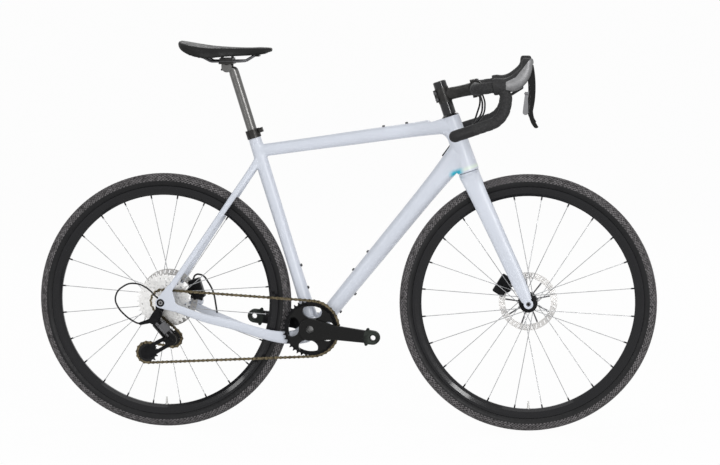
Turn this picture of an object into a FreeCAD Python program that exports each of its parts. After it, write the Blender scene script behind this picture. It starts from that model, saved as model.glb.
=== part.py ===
"""Gravel bike with drop bars, disc brakes and a single-chainring drive.

Millimetres, +X forward, +Y to the rider's left, +Z up.  The origin lies on the ground half way
between the axles.  The drive side is on -Y.
"""
import FreeCAD, Part
import math
import os

import Sketcher
from FreeCAD import Placement, Rotation, Vector

SIZES = {
    # wheels and tyres
    "wheelbase": 1004.0,
    "bead_radius": 311.0,
    "tyre_height": 40.0,
    "tyre_width": 40.0,
    "tyre_wall": 3.5,
    "tyre_gap": 8.0,
    "rim_nose_radius": 291.0,
    "rim_flange_radius": 317.0,
    "rim_width": 29.0,
    "rim_wall": 2.2,
    "spoke_count": 24,
    "spoke_radius": 1.0,
    "nipple_radius": 2.1,
    "nipple_length": 9.0,
    "hub_flange_radius": 22.0,
    "hub_body_radius": 12.5,
    "front_hub_width": 100.0,
    "rear_hub_width": 142.0,
    "axle_radius": 6.0,
    "sleeve_radius": 8.5,
    "bearing_radius": 14.0,
    "bearing_width": 7.0,
    "running_gap": 0.08,
    "rotor_radius": 80.0,
    "rotor_ring_width": 15.0,
    "rotor_carrier_radius": 27.0,
    "rotor_thickness": 1.8,
    "front_rotor_y": 39.6,
    "rear_rotor_y": 55.8,
    "valve_length": 34.0,
    # frame
    "bb_drop": 71.0,
    "bb_reach": 412.0,
    "bb_width": 86.0,
    "bb_shell_radius": 29.0,
    "bb_bore_radius": 23.0,
    "seat_angle": 73.0,
    "seat_tube_length": 552.0,
    "seat_tube_diameter": 34.0,
    "seatpost_diameter": 27.2,
    "top_tube_seat": 506.0,
    "top_tube_head": 526.0,
    "down_tube_head": 451.0,
    "down_tube_foot": 12.0,
    "tube_wall": 2.6,
    "head_angle": 72.0,
    "head_tube_length": 159.0,
    "head_radius_low": 30.0,
    "head_radius_top": 24.0,
    "headset_low_radius": 26.0,
    "headset_top_radius": 20.5,
    "headset_bearing_height": 8.0,
    "boss_spacing": 64.0,
    "boss_thread_radius": 2.5,
    "boss_head_radius": 4.3,
    "boss_head_height": 3.2,
    "boss_depth": 11.0,
    "dropout_radius": 15.0,
    # fork and cockpit
    "fork_length": 390.0,
    "fork_offset": 43.0,
    "steerer_radius": 14.3,
    "steerer_low_radius": 19.9,
    "spacer_radius": 18.0,
    "spacer_stack": 33.0,
    "cover_height": 6.0,
    "stem_length": 90.0,
    "stem_height": 42.0,
    "stem_rise": 12.0,
    "stem_clamp_width": 44.0,
    "top_spacer": 14.0,
    "bar_clamp_radius": 15.9,
    "bar_radius": 11.9,
    "bar_wall": 2.0,
    "bar_width": 412.0,
    "bar_reach": 89.5,
    "bar_drop": 122.6,
    "bar_flare": 30.0,
    "tape_thickness": 4.0,
    "tape_start": 72.0,
    "front_end_turn": 6.0,
    # seat
    "post_clamp_up": 721.0,
    "post_insert": 190.0,
    "saddle_length": 254.0,
    "saddle_half_width": 72.0,
    "saddle_height": 1048.0,
    "rail_radius": 3.5,
    "rail_spread": 22.0,
    # drive
    "crank_length": 175.0,
    "crank_angle": -6.9,
    "crank_inner_y": 58.0,
    "crank_thickness": 14.0,
    "crank_root_radius": 31.0,
    "crank_waist_reach": 64.0,
    "crank_waist_radius": 20.0,
    "crank_tip_radius": 16.5,
    "boot_thickness": 2.2,
    "pedal_thread_radius": 7.14,
    "spindle_radius": 12.5,
    "chain_pitch": 12.7,
    "roller_radius": 3.85,
    "seat_gap": 0.15,
    "tooth_height": 2.7,
    "chainring_teeth": 38,
    "chainring_thickness": 3.6,
    "chainring_inner_radius": 62.0,
    "tooth_thickness": 1.6,
    "chain_line": 45.6,
    "cog_pitch": 3.4,
    "freehub_radius": 16.5,
    "upper_jockey_teeth": 12,
    "lower_jockey_teeth": 14,
    "cage_length": 83.0,
    "cage_angle": 207.0,
    "link_length": 46.0,
    "link_spread": 18.0,
    "pad_gap": 0.5,
    "pad_thickness": 2.0,
}
COGS = (9, 10, 11, 12, 13, 14, 16, 18, 20, 23, 27, 31, 36)
ENGAGED = 6

X = Vector(1, 0, 0)
Y = Vector(0, 1, 0)
Z = Vector(0, 0, 1)

doc = FreeCAD.newDocument("gravel_bike")
sheet = doc.addObject("Spreadsheet::Sheet", "Sizes")
for row, (alias, value) in enumerate(SIZES.items(), start=1):
    sheet.set("A%d" % row, alias)
    sheet.set("B%d" % row, str(value))
    sheet.setAlias("B%d" % row, alias)
doc.recompute()


class Size:
    """A value of the sheet, carried together with the expression that binds to it."""

    def __init__(self, value, text):
        self.value = float(value)
        self.text = text

    def joined(self, other, sign, value):
        return Size(value, "(%s %s %s)" % (self.text, sign, other.text))

    def __add__(self, other):
        other = as_size(other)
        return self.joined(other, "+", self.value + other.value)

    def __sub__(self, other):
        other = as_size(other)
        return self.joined(other, "-", self.value - other.value)

    def __mul__(self, other):
        other = as_size(other)
        return self.joined(other, "*", self.value * other.value)

    def __truediv__(self, other):
        other = as_size(other)
        return self.joined(other, "/", self.value / other.value)

    def __float__(self):
        return self.value


def as_size(value):
    if isinstance(value, Size):
        return value
    return Size(value, "(%s)" % float(value))


def d(alias):
    """The sheet's value as something that can be bound."""
    return Size(sheet.get(alias), "Sizes." + alias)


class Numbers:
    """The sheet's values as plain numbers."""

    def __getattr__(self, alias):
        return float(sheet.get(alias))


n = Numbers()
NODES = []


def keep(made, label):
    made.Label = label
    NODES.append(made)
    return made


def feature(label, shape):
    made = doc.addObject("Part::Feature", label)
    made.Shape = shape
    return keep(made, label)


def group(label, shapes):
    """Several separate solids under one label."""
    return feature(label, Part.makeCompound(list(shapes)))


def gathered(label, links):
    made = doc.addObject("Part::Compound", label)
    made.Links = links
    return keep(made, label)


# Bound bodies


def plane_of(owner, role):
    return [item for item in owner.Origin.OriginFeatures if item.Role == role][0]


def outline(owner, corners, name="profile"):
    """A closed sketch with every corner bound; a third entry makes the side that arrives an arc."""
    sketch = owner.newObject("Sketcher::SketchObject", owner.Name + "_" + name)
    sketch.AttachmentSupport = [(plane_of(owner, "XY_Plane"), "")]
    sketch.MapMode = "FlatFace"
    add_loop(sketch, corners)
    return sketch


def add_loop(sketch, corners):
    corners = [tuple(as_size(part) for part in corner) for corner in corners]
    first = sketch.GeometryCount
    count = len(corners)
    ends = []
    for index in range(count):
        start = corners[index]
        stop = corners[(index + 1) % count]
        a = Vector(start[0].value, start[1].value, 0)
        b = Vector(stop[0].value, stop[1].value, 0)
        if len(stop) == 3:
            bulge = stop[2].value
            half = (b - a) * 0.5
            lift = math.sqrt(max(bulge * bulge - half.Length ** 2, 0.0))
            normal = Vector(half.y, -half.x, 0).normalize()
            side = 1.0 if bulge > 0 else -1.0
            middle = a + half + normal * side * (abs(bulge) - lift)
            sketch.addGeometry(Part.ArcOfCircle(a, middle, b), False)
            ends.append((1, 2) if bulge > 0 else (2, 1))
        else:
            sketch.addGeometry(Part.LineSegment(a, b), False)
            ends.append((1, 2))
    for index in range(count):
        here = first + index
        after = first + (index + 1) % count
        join = ends[(index + 1) % count][0]
        sketch.addConstraint(Sketcher.Constraint("Coincident", here, ends[index][1], after, join))
    for index in range(count):
        here = first + index
        for name, axis, size in (("DistanceX", -2, corners[index][0]), ("DistanceY", -1, corners[index][1])):
            if abs(size.value) < 1e-9:
                sketch.addConstraint(Sketcher.Constraint("PointOnObject", here, ends[index][0], axis))
                continue
            made = sketch.addConstraint(
                Sketcher.Constraint(name, -1, 1, here, ends[index][0], size.value)
            )
            sketch.setExpression("Constraints[%d]" % made, size.text)
        stop = corners[(index + 1) % count]
        if len(stop) == 3:
            bulge = stop[2]
            made = sketch.addConstraint(Sketcher.Constraint("Radius", here, abs(bulge.value)))
            sketch.setExpression("Constraints[%d]" % made, "abs(%s)" % bulge.text)


def along_y(x, y, z):
    """Local X laid along +Y."""
    return Placement(Vector(x, y, z), Rotation(Z, 90))


def facing_y(x, y, z):
    """Local Z laid along +Y, local X kept."""
    return Placement(Vector(x, y, z), Rotation(X, -90))


def turned(label, loops, placement):
    """A body turned about its local X: each corner is (place along the axis, radius)."""
    owner = doc.addObject("PartDesign::Body", label)
    sketch = outline(owner, loops[0])
    for extra in loops[1:]:
        add_loop(sketch, extra)
    spin = owner.newObject("PartDesign::Revolution", label + "_turn")
    spin.Profile = sketch
    spin.ReferenceAxis = (sketch, ["H_Axis"])
    spin.Angle = 360.0
    owner.Placement = placement
    return owner


def ring(label, outer, inner, height, placement):
    """A plain ring along local Z."""
    made = []
    for name, radius in (("_outer", outer), ("_inner", inner)):
        part = doc.addObject("Part::Cylinder", label + name)
        part.setExpression("Radius", as_size(radius).text)
        part.setExpression("Height", as_size(height).text)
        part.Placement = placement
        made.append(part)
    cut = doc.addObject("Part::Cut", label)
    cut.Base, cut.Tool = made
    return cut


# Plain shapes


def rod(start, stop, radius):
    return Part.makeCylinder(radius, (stop - start).Length, start, stop - start)


def pipe(start, stop, outer, inner):
    return rod(start, stop, outer).cut(rod(start, stop, inner))


def fused(shapes):
    whole = shapes[0]
    for shape in shapes[1:]:
        whole = whole.fuse(shape)
    return whole


def oval(centre, along, height, width, power=2.4):
    """A rounded section: height across the tube in its side view, width along Y."""
    across = Vector(-along.z, 0, along.x).normalize()
    corner = 0.5 ** (1 / power)
    reach = 6 / (4 + 2 * corner)
    poles = []
    quarter = ((1, 0), (corner, corner), (0, 1), (-corner, corner))
    for u, v in quarter + tuple((-u, -v) for u, v in quarter):
        poles.append(centre + across * (u * reach * height / 2) + Y * (v * reach * width / 2))
    curve = Part.BSplineCurve()
    curve.buildFromPoles(poles, True, 3)
    return Part.Wire(curve.toShape())


def tube(stations, power=2.4):
    """A loft through (centre, height, width); each section stands square to the run in side view."""
    wires = []
    last = len(stations) - 1
    for index, (centre, height, width) in enumerate(stations):
        before = stations[max(index - 1, 0)][0]
        after = stations[min(index + 1, last)][0]
        along = Vector(after.x - before.x, 0, after.z - before.z).normalize()
        wires.append(oval(centre, along, height, width, power))
    return Part.makeLoft(wires, True, False)


def bar_between(start, stop, shares):
    """A straight tube: each share is (place along it, height, width)."""
    return tube([(start + (stop - start) * share, height, width) for share, height, width in shares])


def slab(points, low, high):
    """A flat outline of (x, z) corners, thick along Y; a corner of three points ends an arc."""
    edges = []
    at = Vector(points[0][0], low, points[0][1])
    for corner in list(points[1:]) + [points[0][:2]]:
        to = Vector(corner[0], low, corner[1])
        if len(corner) == 4:
            edges.append(Part.Arc(at, Vector(corner[2], low, corner[3]), to).toShape())
        elif (to - at).Length > 1e-6:
            edges.append(Part.LineSegment(at, to).toShape())
        at = to
    return Part.Face(Part.Wire(edges)).extrude(Y * (high - low))


def belt(a, radius_a, b, radius_b, low, high):
    """Two discs and the straight sides that touch both, thick along Y; places in (x, z)."""
    start = Vector(a.x, 0, a.z)
    stop = Vector(b.x, 0, b.z)
    run = stop - start
    along = Vector(run).normalize()
    side = Vector(-along.z, 0, along.x)
    lean = (radius_a - radius_b) / run.Length
    tilt = math.sqrt(1 - lean * lean)
    up = along * lean + side * tilt
    down = along * lean - side * tilt
    corners = [
        start + up * radius_a,
        stop + up * radius_b,
        stop + along * radius_b,
        stop + down * radius_b,
        start + down * radius_a,
        start - along * radius_a,
    ]
    flat = [(point.x, point.z) for point in corners]
    return slab(
        [flat[0], flat[1], flat[3] + flat[2], flat[4], flat[0] + flat[5]], low, high
    )


def box_at(centre, length, width, height, angle=0.0):
    """A block; the angle turns it in side view, nose up."""
    made = Part.makeBox(length, width, height, Vector(-length / 2, -width / 2, -height / 2))
    made.Placement = Placement(centre, Rotation(Y, -angle))
    return made


def softened(shape, radius):
    """Every edge rounded."""
    return shape.makeFillet(radius, shape.Edges)


def rounded_run(points, radii):
    """A wire of straight runs with an arc at every inner corner."""
    edges = []
    at = points[0]
    for index in range(1, len(points) - 1):
        corner = points[index]
        before = (points[index - 1] - corner).normalize()
        after = (points[index + 1] - corner).normalize()
        half = before.getAngle(after) / 2
        reach = radii[index - 1] / math.tan(half)
        start = corner + before * reach
        stop = corner + after * reach
        inward = (before + after).normalize()
        middle = corner + inward * (radii[index - 1] / math.sin(half) - radii[index - 1])
        if (start - at).Length > 1e-6:
            edges.append(Part.LineSegment(at, start).toShape())
        edges.append(Part.Arc(start, middle, stop).toShape())
        at = stop
    edges.append(Part.LineSegment(at, points[-1]).toShape())
    return Part.Wire(edges)


def swept(path, radius):
    edge = path.OrderedEdges[0]
    start = edge.valueAt(edge.FirstParameter)
    along = edge.tangentAt(edge.FirstParameter)
    if edge.Orientation == "Reversed":
        start = edge.valueAt(edge.LastParameter)
        along = edge.tangentAt(edge.LastParameter) * -1
    profile = Part.Wire(Part.makeCircle(radius, start, along))
    return path.makePipeShell([profile], True, False)


def cable(points, radius):
    """A run through corners, with the largest arcs that leave some of each straight between."""
    radii = []
    for before, corner, after in zip(points, points[1:], points[2:]):
        first, second = before - corner, after - corner
        half = first.getAngle(second) / 2
        radii.append(0.45 * min(first.Length, second.Length) * math.tan(half))
    return swept(rounded_run(points, radii), radius)


def mirrored(shape):
    return shape.mirror(Vector(0, 0, 0), Y)


def both(shape):
    return [shape, mirrored(shape)]


# Places

tyre_radius = n.bead_radius + n.tyre_height
REAR = Vector(-n.wheelbase / 2, 0, tyre_radius)
FRONT = Vector(n.wheelbase / 2, 0, tyre_radius)
BB = REAR + Vector(n.bb_reach, 0, -n.bb_drop)

head = math.radians(n.head_angle)
HEAD_UP = Vector(-math.cos(head), 0, math.sin(head))
HEAD_AHEAD = Vector(math.sin(head), 0, math.cos(head))
AXIS_FOOT = FRONT - HEAD_AHEAD * n.fork_offset
crown_at = n.fork_length
head_low = crown_at + 1.0
head_top = head_low + n.head_tube_length
cover_top = head_top + n.cover_height
spacers_top = cover_top + n.spacer_stack
stem_top = spacers_top + n.stem_height
top_spacer_top = stem_top + n.top_spacer

seat_lean = math.radians(n.seat_angle)
SEAT_UP = Vector(-math.cos(seat_lean), 0, math.sin(seat_lean))
SEAT_AHEAD = Vector(math.sin(seat_lean), 0, math.cos(seat_lean))


FRONT_TURN = Placement(Vector(0, 0, 0), Rotation(HEAD_UP, n.front_end_turn), AXIS_FOOT)


def steer(up, ahead=0.0, y=0.0):
    return AXIS_FOOT + HEAD_UP * up + HEAD_AHEAD * ahead + Y * y


def seat(up, ahead=0.0, y=0.0):
    return BB + SEAT_UP * up + SEAT_AHEAD * ahead + Y * y


def upright(place, along):
    """Local Z laid along a direction in side view."""
    return Placement(place, Rotation(Z, along))


# Frame

TOP_TUBE = (seat(n.top_tube_seat), steer(n.top_tube_head))
TOP_SHARES = (
    (0.0, 34, 31),
    (0.12, 34.5, 32),
    (0.5, 37.5, 38),
    (0.8, 39.5, 42),
    (0.92, 44, 44),
    (1.0, 52, 44),
)
DOWN_TUBE = (BB + X * n.down_tube_foot, steer(n.down_tube_head))
DOWN_SHARES = (
    (0.0, 43, 62),
    (0.2, 43.5, 57),
    (0.5, 47.5, 53),
    (0.78, 51, 50),
    (0.9, 57, 48),
    (1.0, 68, 48),
)


def share_height(shares, at):
    for (low, height_low, _), (high, height_high, _) in zip(shares, shares[1:]):
        if low <= at <= high:
            return height_low + (height_high - height_low) * (at - low) / (high - low)
    return shares[-1][1]


def boss_places():
    """Where a bolt enters the frame and which way its head faces."""
    places = []
    for run, shares, first, side in (
        (TOP_TUBE, TOP_SHARES, 352.0, 1),
        (DOWN_TUBE, DOWN_SHARES, 186.0, 1),
        (DOWN_TUBE, DOWN_SHARES, 73.0, -1),
    ):
        along = (run[1] - run[0]).normalize()
        across = Vector(-along.z, 0, along.x) * side
        span = (run[1] - run[0]).Length
        for step in range(2):
            at = first + step * n.boss_spacing
            height = share_height(shares, at / span)
            places.append((run[0] + along * at + across * (height / 2), across))
    for step in range(2):
        up = 108.0 + step * n.boss_spacing
        places.append((seat(up, n.seat_tube_diameter / 2 + 0.6), SEAT_AHEAD))
    return places


def front_outer():
    post = n.seat_tube_diameter
    seat_tube = bar_between(
        BB, seat(n.seat_tube_length), ((0.0, 42, 62), (0.16, 36, 46), (0.45, post, post), (1.0, post, post))
    )
    head_tube = Part.makeCone(
        n.head_radius_low, n.head_radius_top, n.head_tube_length, steer(head_low), HEAD_UP
    )
    top = bar_between(*TOP_TUBE, TOP_SHARES)
    down = bar_between(*DOWN_TUBE, DOWN_SHARES)
    shell = Part.makeCylinder(n.bb_shell_radius, n.bb_width, BB - Y * (n.bb_width / 2), Y)
    # fills the corner behind the head tube, where its rear edge sweeps into both tubes
    levels = []
    for up, back, wide in (
        (86, 96, 32),
        (71, 62, 35),
        (56, 34, 37),
        (30, 26, 38),
        (6, 35, 38),
        (-10, 55, 38),
        (-28, 84, 37),
        (-46, 108, 36),
    ):
        levels.append(oval(steer(n.down_tube_head + up, -back / 2), HEAD_UP, back, wide, 2.4))
    web = Part.makeLoft(levels, True, False)
    whole = fused([head_tube, top, down, seat_tube, shell, web])
    return whole.cut(rod(steer(head_top), steer(head_top + 30), 60.0))


def front_triangle(outer):
    wall = 2 * n.tube_wall
    hollows = []
    for run, shares, low, high in ((TOP_TUBE, TOP_SHARES, 0.12, 0.8), (DOWN_TUBE, DOWN_SHARES, 0.2, 0.78)):
        inner = [(at, high_ - wall, wide - wall) for at, high_, wide in shares if low <= at <= high]
        hollows.append(bar_between(*run, inner))
    post_bore = n.seatpost_diameter / 2 + n.running_gap
    tools = [
        rod(seat(n.seat_tube_length - 330), seat(n.seat_tube_length + 30), post_bore),
        rod(BB - Y * n.bb_width, BB + Y * n.bb_width, n.bb_bore_radius),
        rod(steer(head_low - 5), steer(head_top + 5), n.headset_top_radius - 0.4),
        rod(steer(head_low - 5), steer(head_low + n.headset_bearing_height), n.headset_low_radius),
        rod(steer(head_top - n.headset_bearing_height), steer(head_top + 5), n.headset_top_radius),
    ]
    for place, out in boss_places():
        tools.append(rod(place - out * n.boss_depth, place + out * 2, n.boss_thread_radius))
    return feature("front_triangle", outer.cut(tools + hollows))


def stay_place(ahead, up, y):
    return REAR + Vector(ahead, y, up)


DROPOUT_R = (-n.rear_hub_width / 2 - 9.0, -n.rear_hub_width / 2 - 4.2)
DROPOUT_L = (n.rear_hub_width / 2, n.rear_hub_width / 2 + 8.0)


def rear_triangle(outer):
    reach = n.bb_reach
    drop = -n.bb_drop
    inner = n.tyre_width / 2 + n.tyre_gap
    right = -(DROPOUT_R[0] + DROPOUT_R[1]) / 2
    left = (DROPOUT_L[0] + DROPOUT_L[1]) / 2
    right_stay = tube(
        [
            (stay_place(20, -7, -right), 22, 4.8),
            (stay_place(0.115 * reach, -16, -right + 1.5), 22, 7),
            (stay_place(0.19 * reach, -28, -right + 5.5), 22, 9),
            (stay_place(0.46 * reach, -61, -inner - 20), 26, 12),
            (stay_place(0.675 * reach, drop - 17, -inner - 6.5), 29, 12.5),
            (stay_place(0.85 * reach, drop - 27, -inner - 6.5), 36, 12.5),
            (stay_place(0.975 * reach, drop - 17, -inner - 1), 44, 24),
        ]
    )
    left_stay = tube(
        [
            (stay_place(20, -7, left), 22, 7.5),
            (stay_place(0.115 * reach, -17, left - 1.0), 22, 8),
            (stay_place(0.19 * reach, -29, left - 5.0), 22, 9),
            (stay_place(0.46 * reach, -72, inner + 20), 22, 12),
            (stay_place(0.675 * reach, drop - 29, inner + 6.5), 26, 12.5),
            (stay_place(0.85 * reach, drop - 31, inner + 6.5), 32, 12.5),
            (stay_place(0.975 * reach, drop - 18, inner + 1), 40, 24),
        ]
    )
    # both seat stays run straight from the axle to the back of the seat tube
    joint = seat(n.top_tube_seat - 26) - REAR - SEAT_AHEAD * 9
    seat_stays = []
    for sign, end in ((-1, right), (1, left)):
        seat_stays.append(
            tube(
                [
                    (stay_place(joint.x, joint.z, sign * 9), 24, 15),
                    (stay_place(joint.x * 0.92, joint.z * 0.92, sign * 19), 19, 14),
                    (stay_place(joint.x * 0.77, joint.z * 0.77, sign * (inner + 6.5)), 17, 12),
                    (stay_place(joint.x * 0.6, joint.z * 0.6, sign * (inner + 14)), 16, 11.5),
                    (stay_place(joint.x * 0.4, joint.z * 0.4, sign * (inner + 25)), 16, 11),
                    (stay_place(joint.x * 0.21, joint.z * 0.21, sign * (end - 8)), 16, 9.5),
                    (stay_place(joint.x * 0.1, joint.z * 0.1, sign * (end - 1.5)), 17, 7),
                    (stay_place(joint.x * 0.045, joint.z * 0.045, sign * end), 18, 4.8),
                ]
            )
        )
    plates = []
    for low, high in (DROPOUT_R, DROPOUT_L):
        plates.append(belt(REAR, n.dropout_radius, stay_place(38, -12, 0), 12, low, high))
        plates.append(belt(REAR, n.dropout_radius, stay_place(26, 42, 0), 8, low, high))
        plates.append(belt(stay_place(33, -6, 0), 10, stay_place(24, 36, 0), 8, low, high))
    foot = box_at(stay_place(76, -9.5, left - 9.5), 36, 15, 12, -12)
    bridge_at = stay_place(0.9 * reach, drop - 9, 0)
    bridge = rod(bridge_at - Y * (inner + 4), bridge_at + Y * (inner + 4), 6.5)
    body = fused([right_stay, left_stay] + seat_stays + plates + [foot, bridge])
    tools = [
        outer,
        rod(REAR - Y * 100, REAR, 10.6),
        rod(REAR, REAR + Y * 100, n.axle_radius + 0.1),
    ]
    return feature("rear_triangle", main_solid(body.cut(tools)))


def frame_fittings(outer):
    low = ring(
        "headset_low",
        d("headset_low_radius"),
        d("steerer_low_radius") + d("running_gap"),
        d("headset_bearing_height"),
        upright(steer(head_low), HEAD_UP),
    )
    top = ring(
        "headset_top",
        d("headset_top_radius"),
        d("steerer_radius") + d("running_gap"),
        d("headset_bearing_height"),
        upright(steer(head_top - n.headset_bearing_height), HEAD_UP),
    )
    bore = d("spindle_radius") + d("running_gap")
    cups = []
    for side in (-1, 1):
        place = Placement(BB + Y * (side * (n.bb_width / 2 - 12)), Rotation(Z, 90 * side))
        cups.append(
            turned(
                "bb_cup_%d" % (side + 1),
                [
                    [
                        (0, bore),
                        (16.0, bore),
                        (16.0, d("bb_bore_radius") + 1.5),
                        (12.0, d("bb_bore_radius") + 2.5),
                        (12.0, d("bb_bore_radius")),
                        (0, d("bb_bore_radius")),
                    ]
                ],
                place,
            )
        )
    gathered("frame_bearings", [low, top] + cups)

    post = n.seatpost_diameter / 2
    tube_radius = n.seat_tube_diameter / 2
    base = n.seat_tube_length
    band = pipe(seat(base + 0.0), seat(base + 15), tube_radius + 2.5, post + 0.15)
    lip = rod(seat(base - 9), seat(base), tube_radius + 2.5)
    tab = Part.makeBox(13, 16, 13, Vector(tube_radius - 1, -8, 1))
    slit = Part.makeBox(30, 1.6, 60, Vector(4, -0.8, -20))
    hole = Part.makeCylinder(2.6, 40, Vector(tube_radius + 7.5, -20, 7.5), Y)
    frame_seat = Placement(seat(base), Rotation(Z, SEAT_UP))
    for part in (tab, slit, hole):
        part.Placement = frame_seat.multiply(part.Placement)
    collar = fused([band, lip, tab]).cut([slit, hole, rod(seat(base - 40), seat(base + 40), post + 0.15)])
    collar = collar.cut(outer)
    bolt_at = seat(base + 7.5, tube_radius + 7.5)
    bolt = rod(bolt_at - Y * 7.5, bolt_at + Y * 8, 2.5).fuse(rod(bolt_at - Y * 12.5, bolt_at - Y * 8, 4.2))
    bolt = bolt.fuse(rod(bolt_at - Y * 8.2, bolt_at - Y * 7.4, 2.5))
    group("seat_collar", [collar, bolt])

    bolts = []
    for index, (place, out) in enumerate(boss_places()):
        bolts.append(
            turned(
                "boss_bolt_%d" % index,
                [
                    [
                        (0, 0),
                        (d("boss_depth") - 1.0, 0),
                        (d("boss_depth") - 1.0, d("boss_thread_radius")),
                        (0.6, d("boss_thread_radius")),
                        (0.6, d("boss_head_radius")),
                        (d("boss_head_height") * -0.5, d("boss_head_radius")),
                        (d("boss_head_height") * -1, d("boss_head_radius") - 1.4),
                        (d("boss_head_height") * -1, 2.0),
                        (-1.2, 2.0),
                        (-1.2, 0),
                    ]
                ],
                Placement(place + out * 0.85, Rotation(X, out * -1)),
            )
        )
    gathered("boss_bolts", bolts)


# Wheels


def tyre(label, centre):
    bead = d("bead_radius")
    half = d("tyre_width") / 2
    mid = d("bead_radius") + d("tyre_height") - d("tyre_width") / 2
    wall = d("tyre_wall")
    inner = half - wall
    seat_y = d("rim_width") / 2 - d("rim_wall") - 0.1
    shoulder = d("rim_flange_radius") + 1.2
    fall = (float(mid) - float(shoulder))
    out_y = math.sqrt(float(half) ** 2 - fall ** 2)
    in_y = math.sqrt(float(inner) ** 2 - fall ** 2)
    corners = [
        (seat_y, bead - 1.3),
        (seat_y, shoulder - 0.8),
        (out_y, shoulder),
        (0, mid + half, half),
        (out_y * -1, shoulder, half),
        (seat_y * -1, shoulder - 0.8),
        (seat_y * -1, bead - 1.3),
        (seat_y * -1 + 3.4, bead - 1.3),
        (in_y * -1, shoulder),
        (0, mid + inner, inner * -1),
        (in_y, shoulder, inner * -1),
        (seat_y - 3.4, bead - 1.3),
    ]
    return keep(turned(label, [corners], along_y(centre.x, 0, centre.z)), label)


def rim(label, centre):
    nose = d("rim_nose_radius")
    flange = d("rim_flange_radius")
    half = d("rim_width") / 2
    wall = d("rim_wall")
    bed = d("bead_radius") - 1.5
    skin = [
        (4.5, nose),
        (half - 3.5, nose + 8),
        (half, nose + 18),
        (half, flange - 1),
        (half - 1, flange),
        (half - wall, flange),
        (half - wall, bed),
        (half - wall - 4.5, bed),
        (half - wall - 6, bed - 3),
        ((half - wall - 6) * -1, bed - 3),
        ((half - wall - 4.5) * -1, bed),
        ((half - wall) * -1, bed),
        ((half - wall) * -1, flange),
        ((half - 1) * -1, flange),
        (half * -1, flange - 1),
        (half * -1, nose + 18),
        ((half - 3.5) * -1, nose + 8),
        (-4.5, nose),
    ]
    hollow = [
        (3.4, nose + 2.6),
        (half - 5.4, nose + 9),
        (half - 3.4, nose + 13),
        ((half - 3.4) * -1, nose + 13),
        ((half - 5.4) * -1, nose + 9),
        (-3.4, nose + 2.6),
    ]
    return keep(turned(label, [skin, hollow], along_y(centre.x, 0, centre.z)), label)


def spokes(label, centre, flange_y, hub_radius):
    """Spokes laced two cross, with a nipple at each rim hole."""
    count = int(n.spoke_count)
    per_side = count // 2
    shapes = []
    for index in range(count):
        rim_angle = 2 * math.pi * (index + 0.5) / count + math.pi / 2
        side = index % 2
        leading = (index // 2) % 2
        turn = (2 * math.pi / per_side) * 1.5 * (1 if leading else -1)
        hub_angle = rim_angle + turn
        y = flange_y[side] + (1.0 if leading else -1.0)
        hub = centre + Vector(math.cos(hub_angle) * hub_radius, y, math.sin(hub_angle) * hub_radius)
        rim_y = 3.0 if flange_y[side] > 0 else -3.0
        out = n.rim_nose_radius - 1.0
        end = centre + Vector(math.cos(rim_angle) * out, rim_y, math.sin(rim_angle) * out)
        along = (end - hub).normalize()
        neck = end - along * n.nipple_length
        wire = rod(hub, neck, n.spoke_radius)
        nipple = rod(neck, end + along * 4.5, n.nipple_radius)
        shapes.append(wire.fuse(nipple))
    return group(label, shapes)


def hub_profile(left, right, flange_left, flange_right, rotor_y):
    """Corners of a hub shell from its drive side (low) to its rotor side (high)."""
    body = d("hub_body_radius")
    flange = d("hub_flange_radius") + 3.0
    seat_r = d("bearing_radius")
    bore = d("sleeve_radius") + 0.6
    width = d("bearing_width")
    return [
        (right, seat_r),
        (right + width, seat_r),
        (right + width, bore),
        (left - width, bore),
        (left - width, seat_r),
        (left, seat_r),
        (left, seat_r + 2.2),
        (rotor_y + 4.0, seat_r + 2.2),
        (rotor_y + 4.0, seat_r + 5.0),
        (rotor_y + 0.9, seat_r + 5.0),
        (rotor_y + 0.9, seat_r + 3.0),
        (rotor_y - 0.9, seat_r + 3.0),
        (rotor_y - 0.9, seat_r + 6.5),
        (rotor_y - 3.5, seat_r + 6.5),
        (rotor_y - 5.0, seat_r + 2.0),
        (flange_left + 2.5, seat_r + 3.0),
        (flange_left + 2.0, flange),
        (flange_left - 2.0, flange),
        (flange_left - 2.5, seat_r + 2.0),
        (flange_left - 9.0, body),
        (flange_right + 9.0, body),
        (flange_right + 2.5, seat_r + 2.0),
        (flange_right + 2.0, flange),
        (flange_right - 2.0, flange),
        (flange_right - 2.5, seat_r + 3.0),
        (right, seat_r + 2.2),
    ]


def hub(label, centre, left, right, flange_y, rotor_y):
    shell = turned(
        label + "_shell",
        [hub_profile(as_size(left), as_size(right), as_size(flange_y[0]), as_size(flange_y[1]), rotor_y)],
        along_y(centre.x, 0, centre.z),
    )
    races = []
    for name, y in (("_low", right), ("_high", left - n.bearing_width)):
        races.append(
            ring(
                label + name,
                d("bearing_radius"),
                d("sleeve_radius") + d("running_gap"),
                d("bearing_width") - 0.2,
                facing_y(centre.x, y + 0.1, centre.z),
            )
        )
    return gathered(label, [shell] + races)


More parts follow.
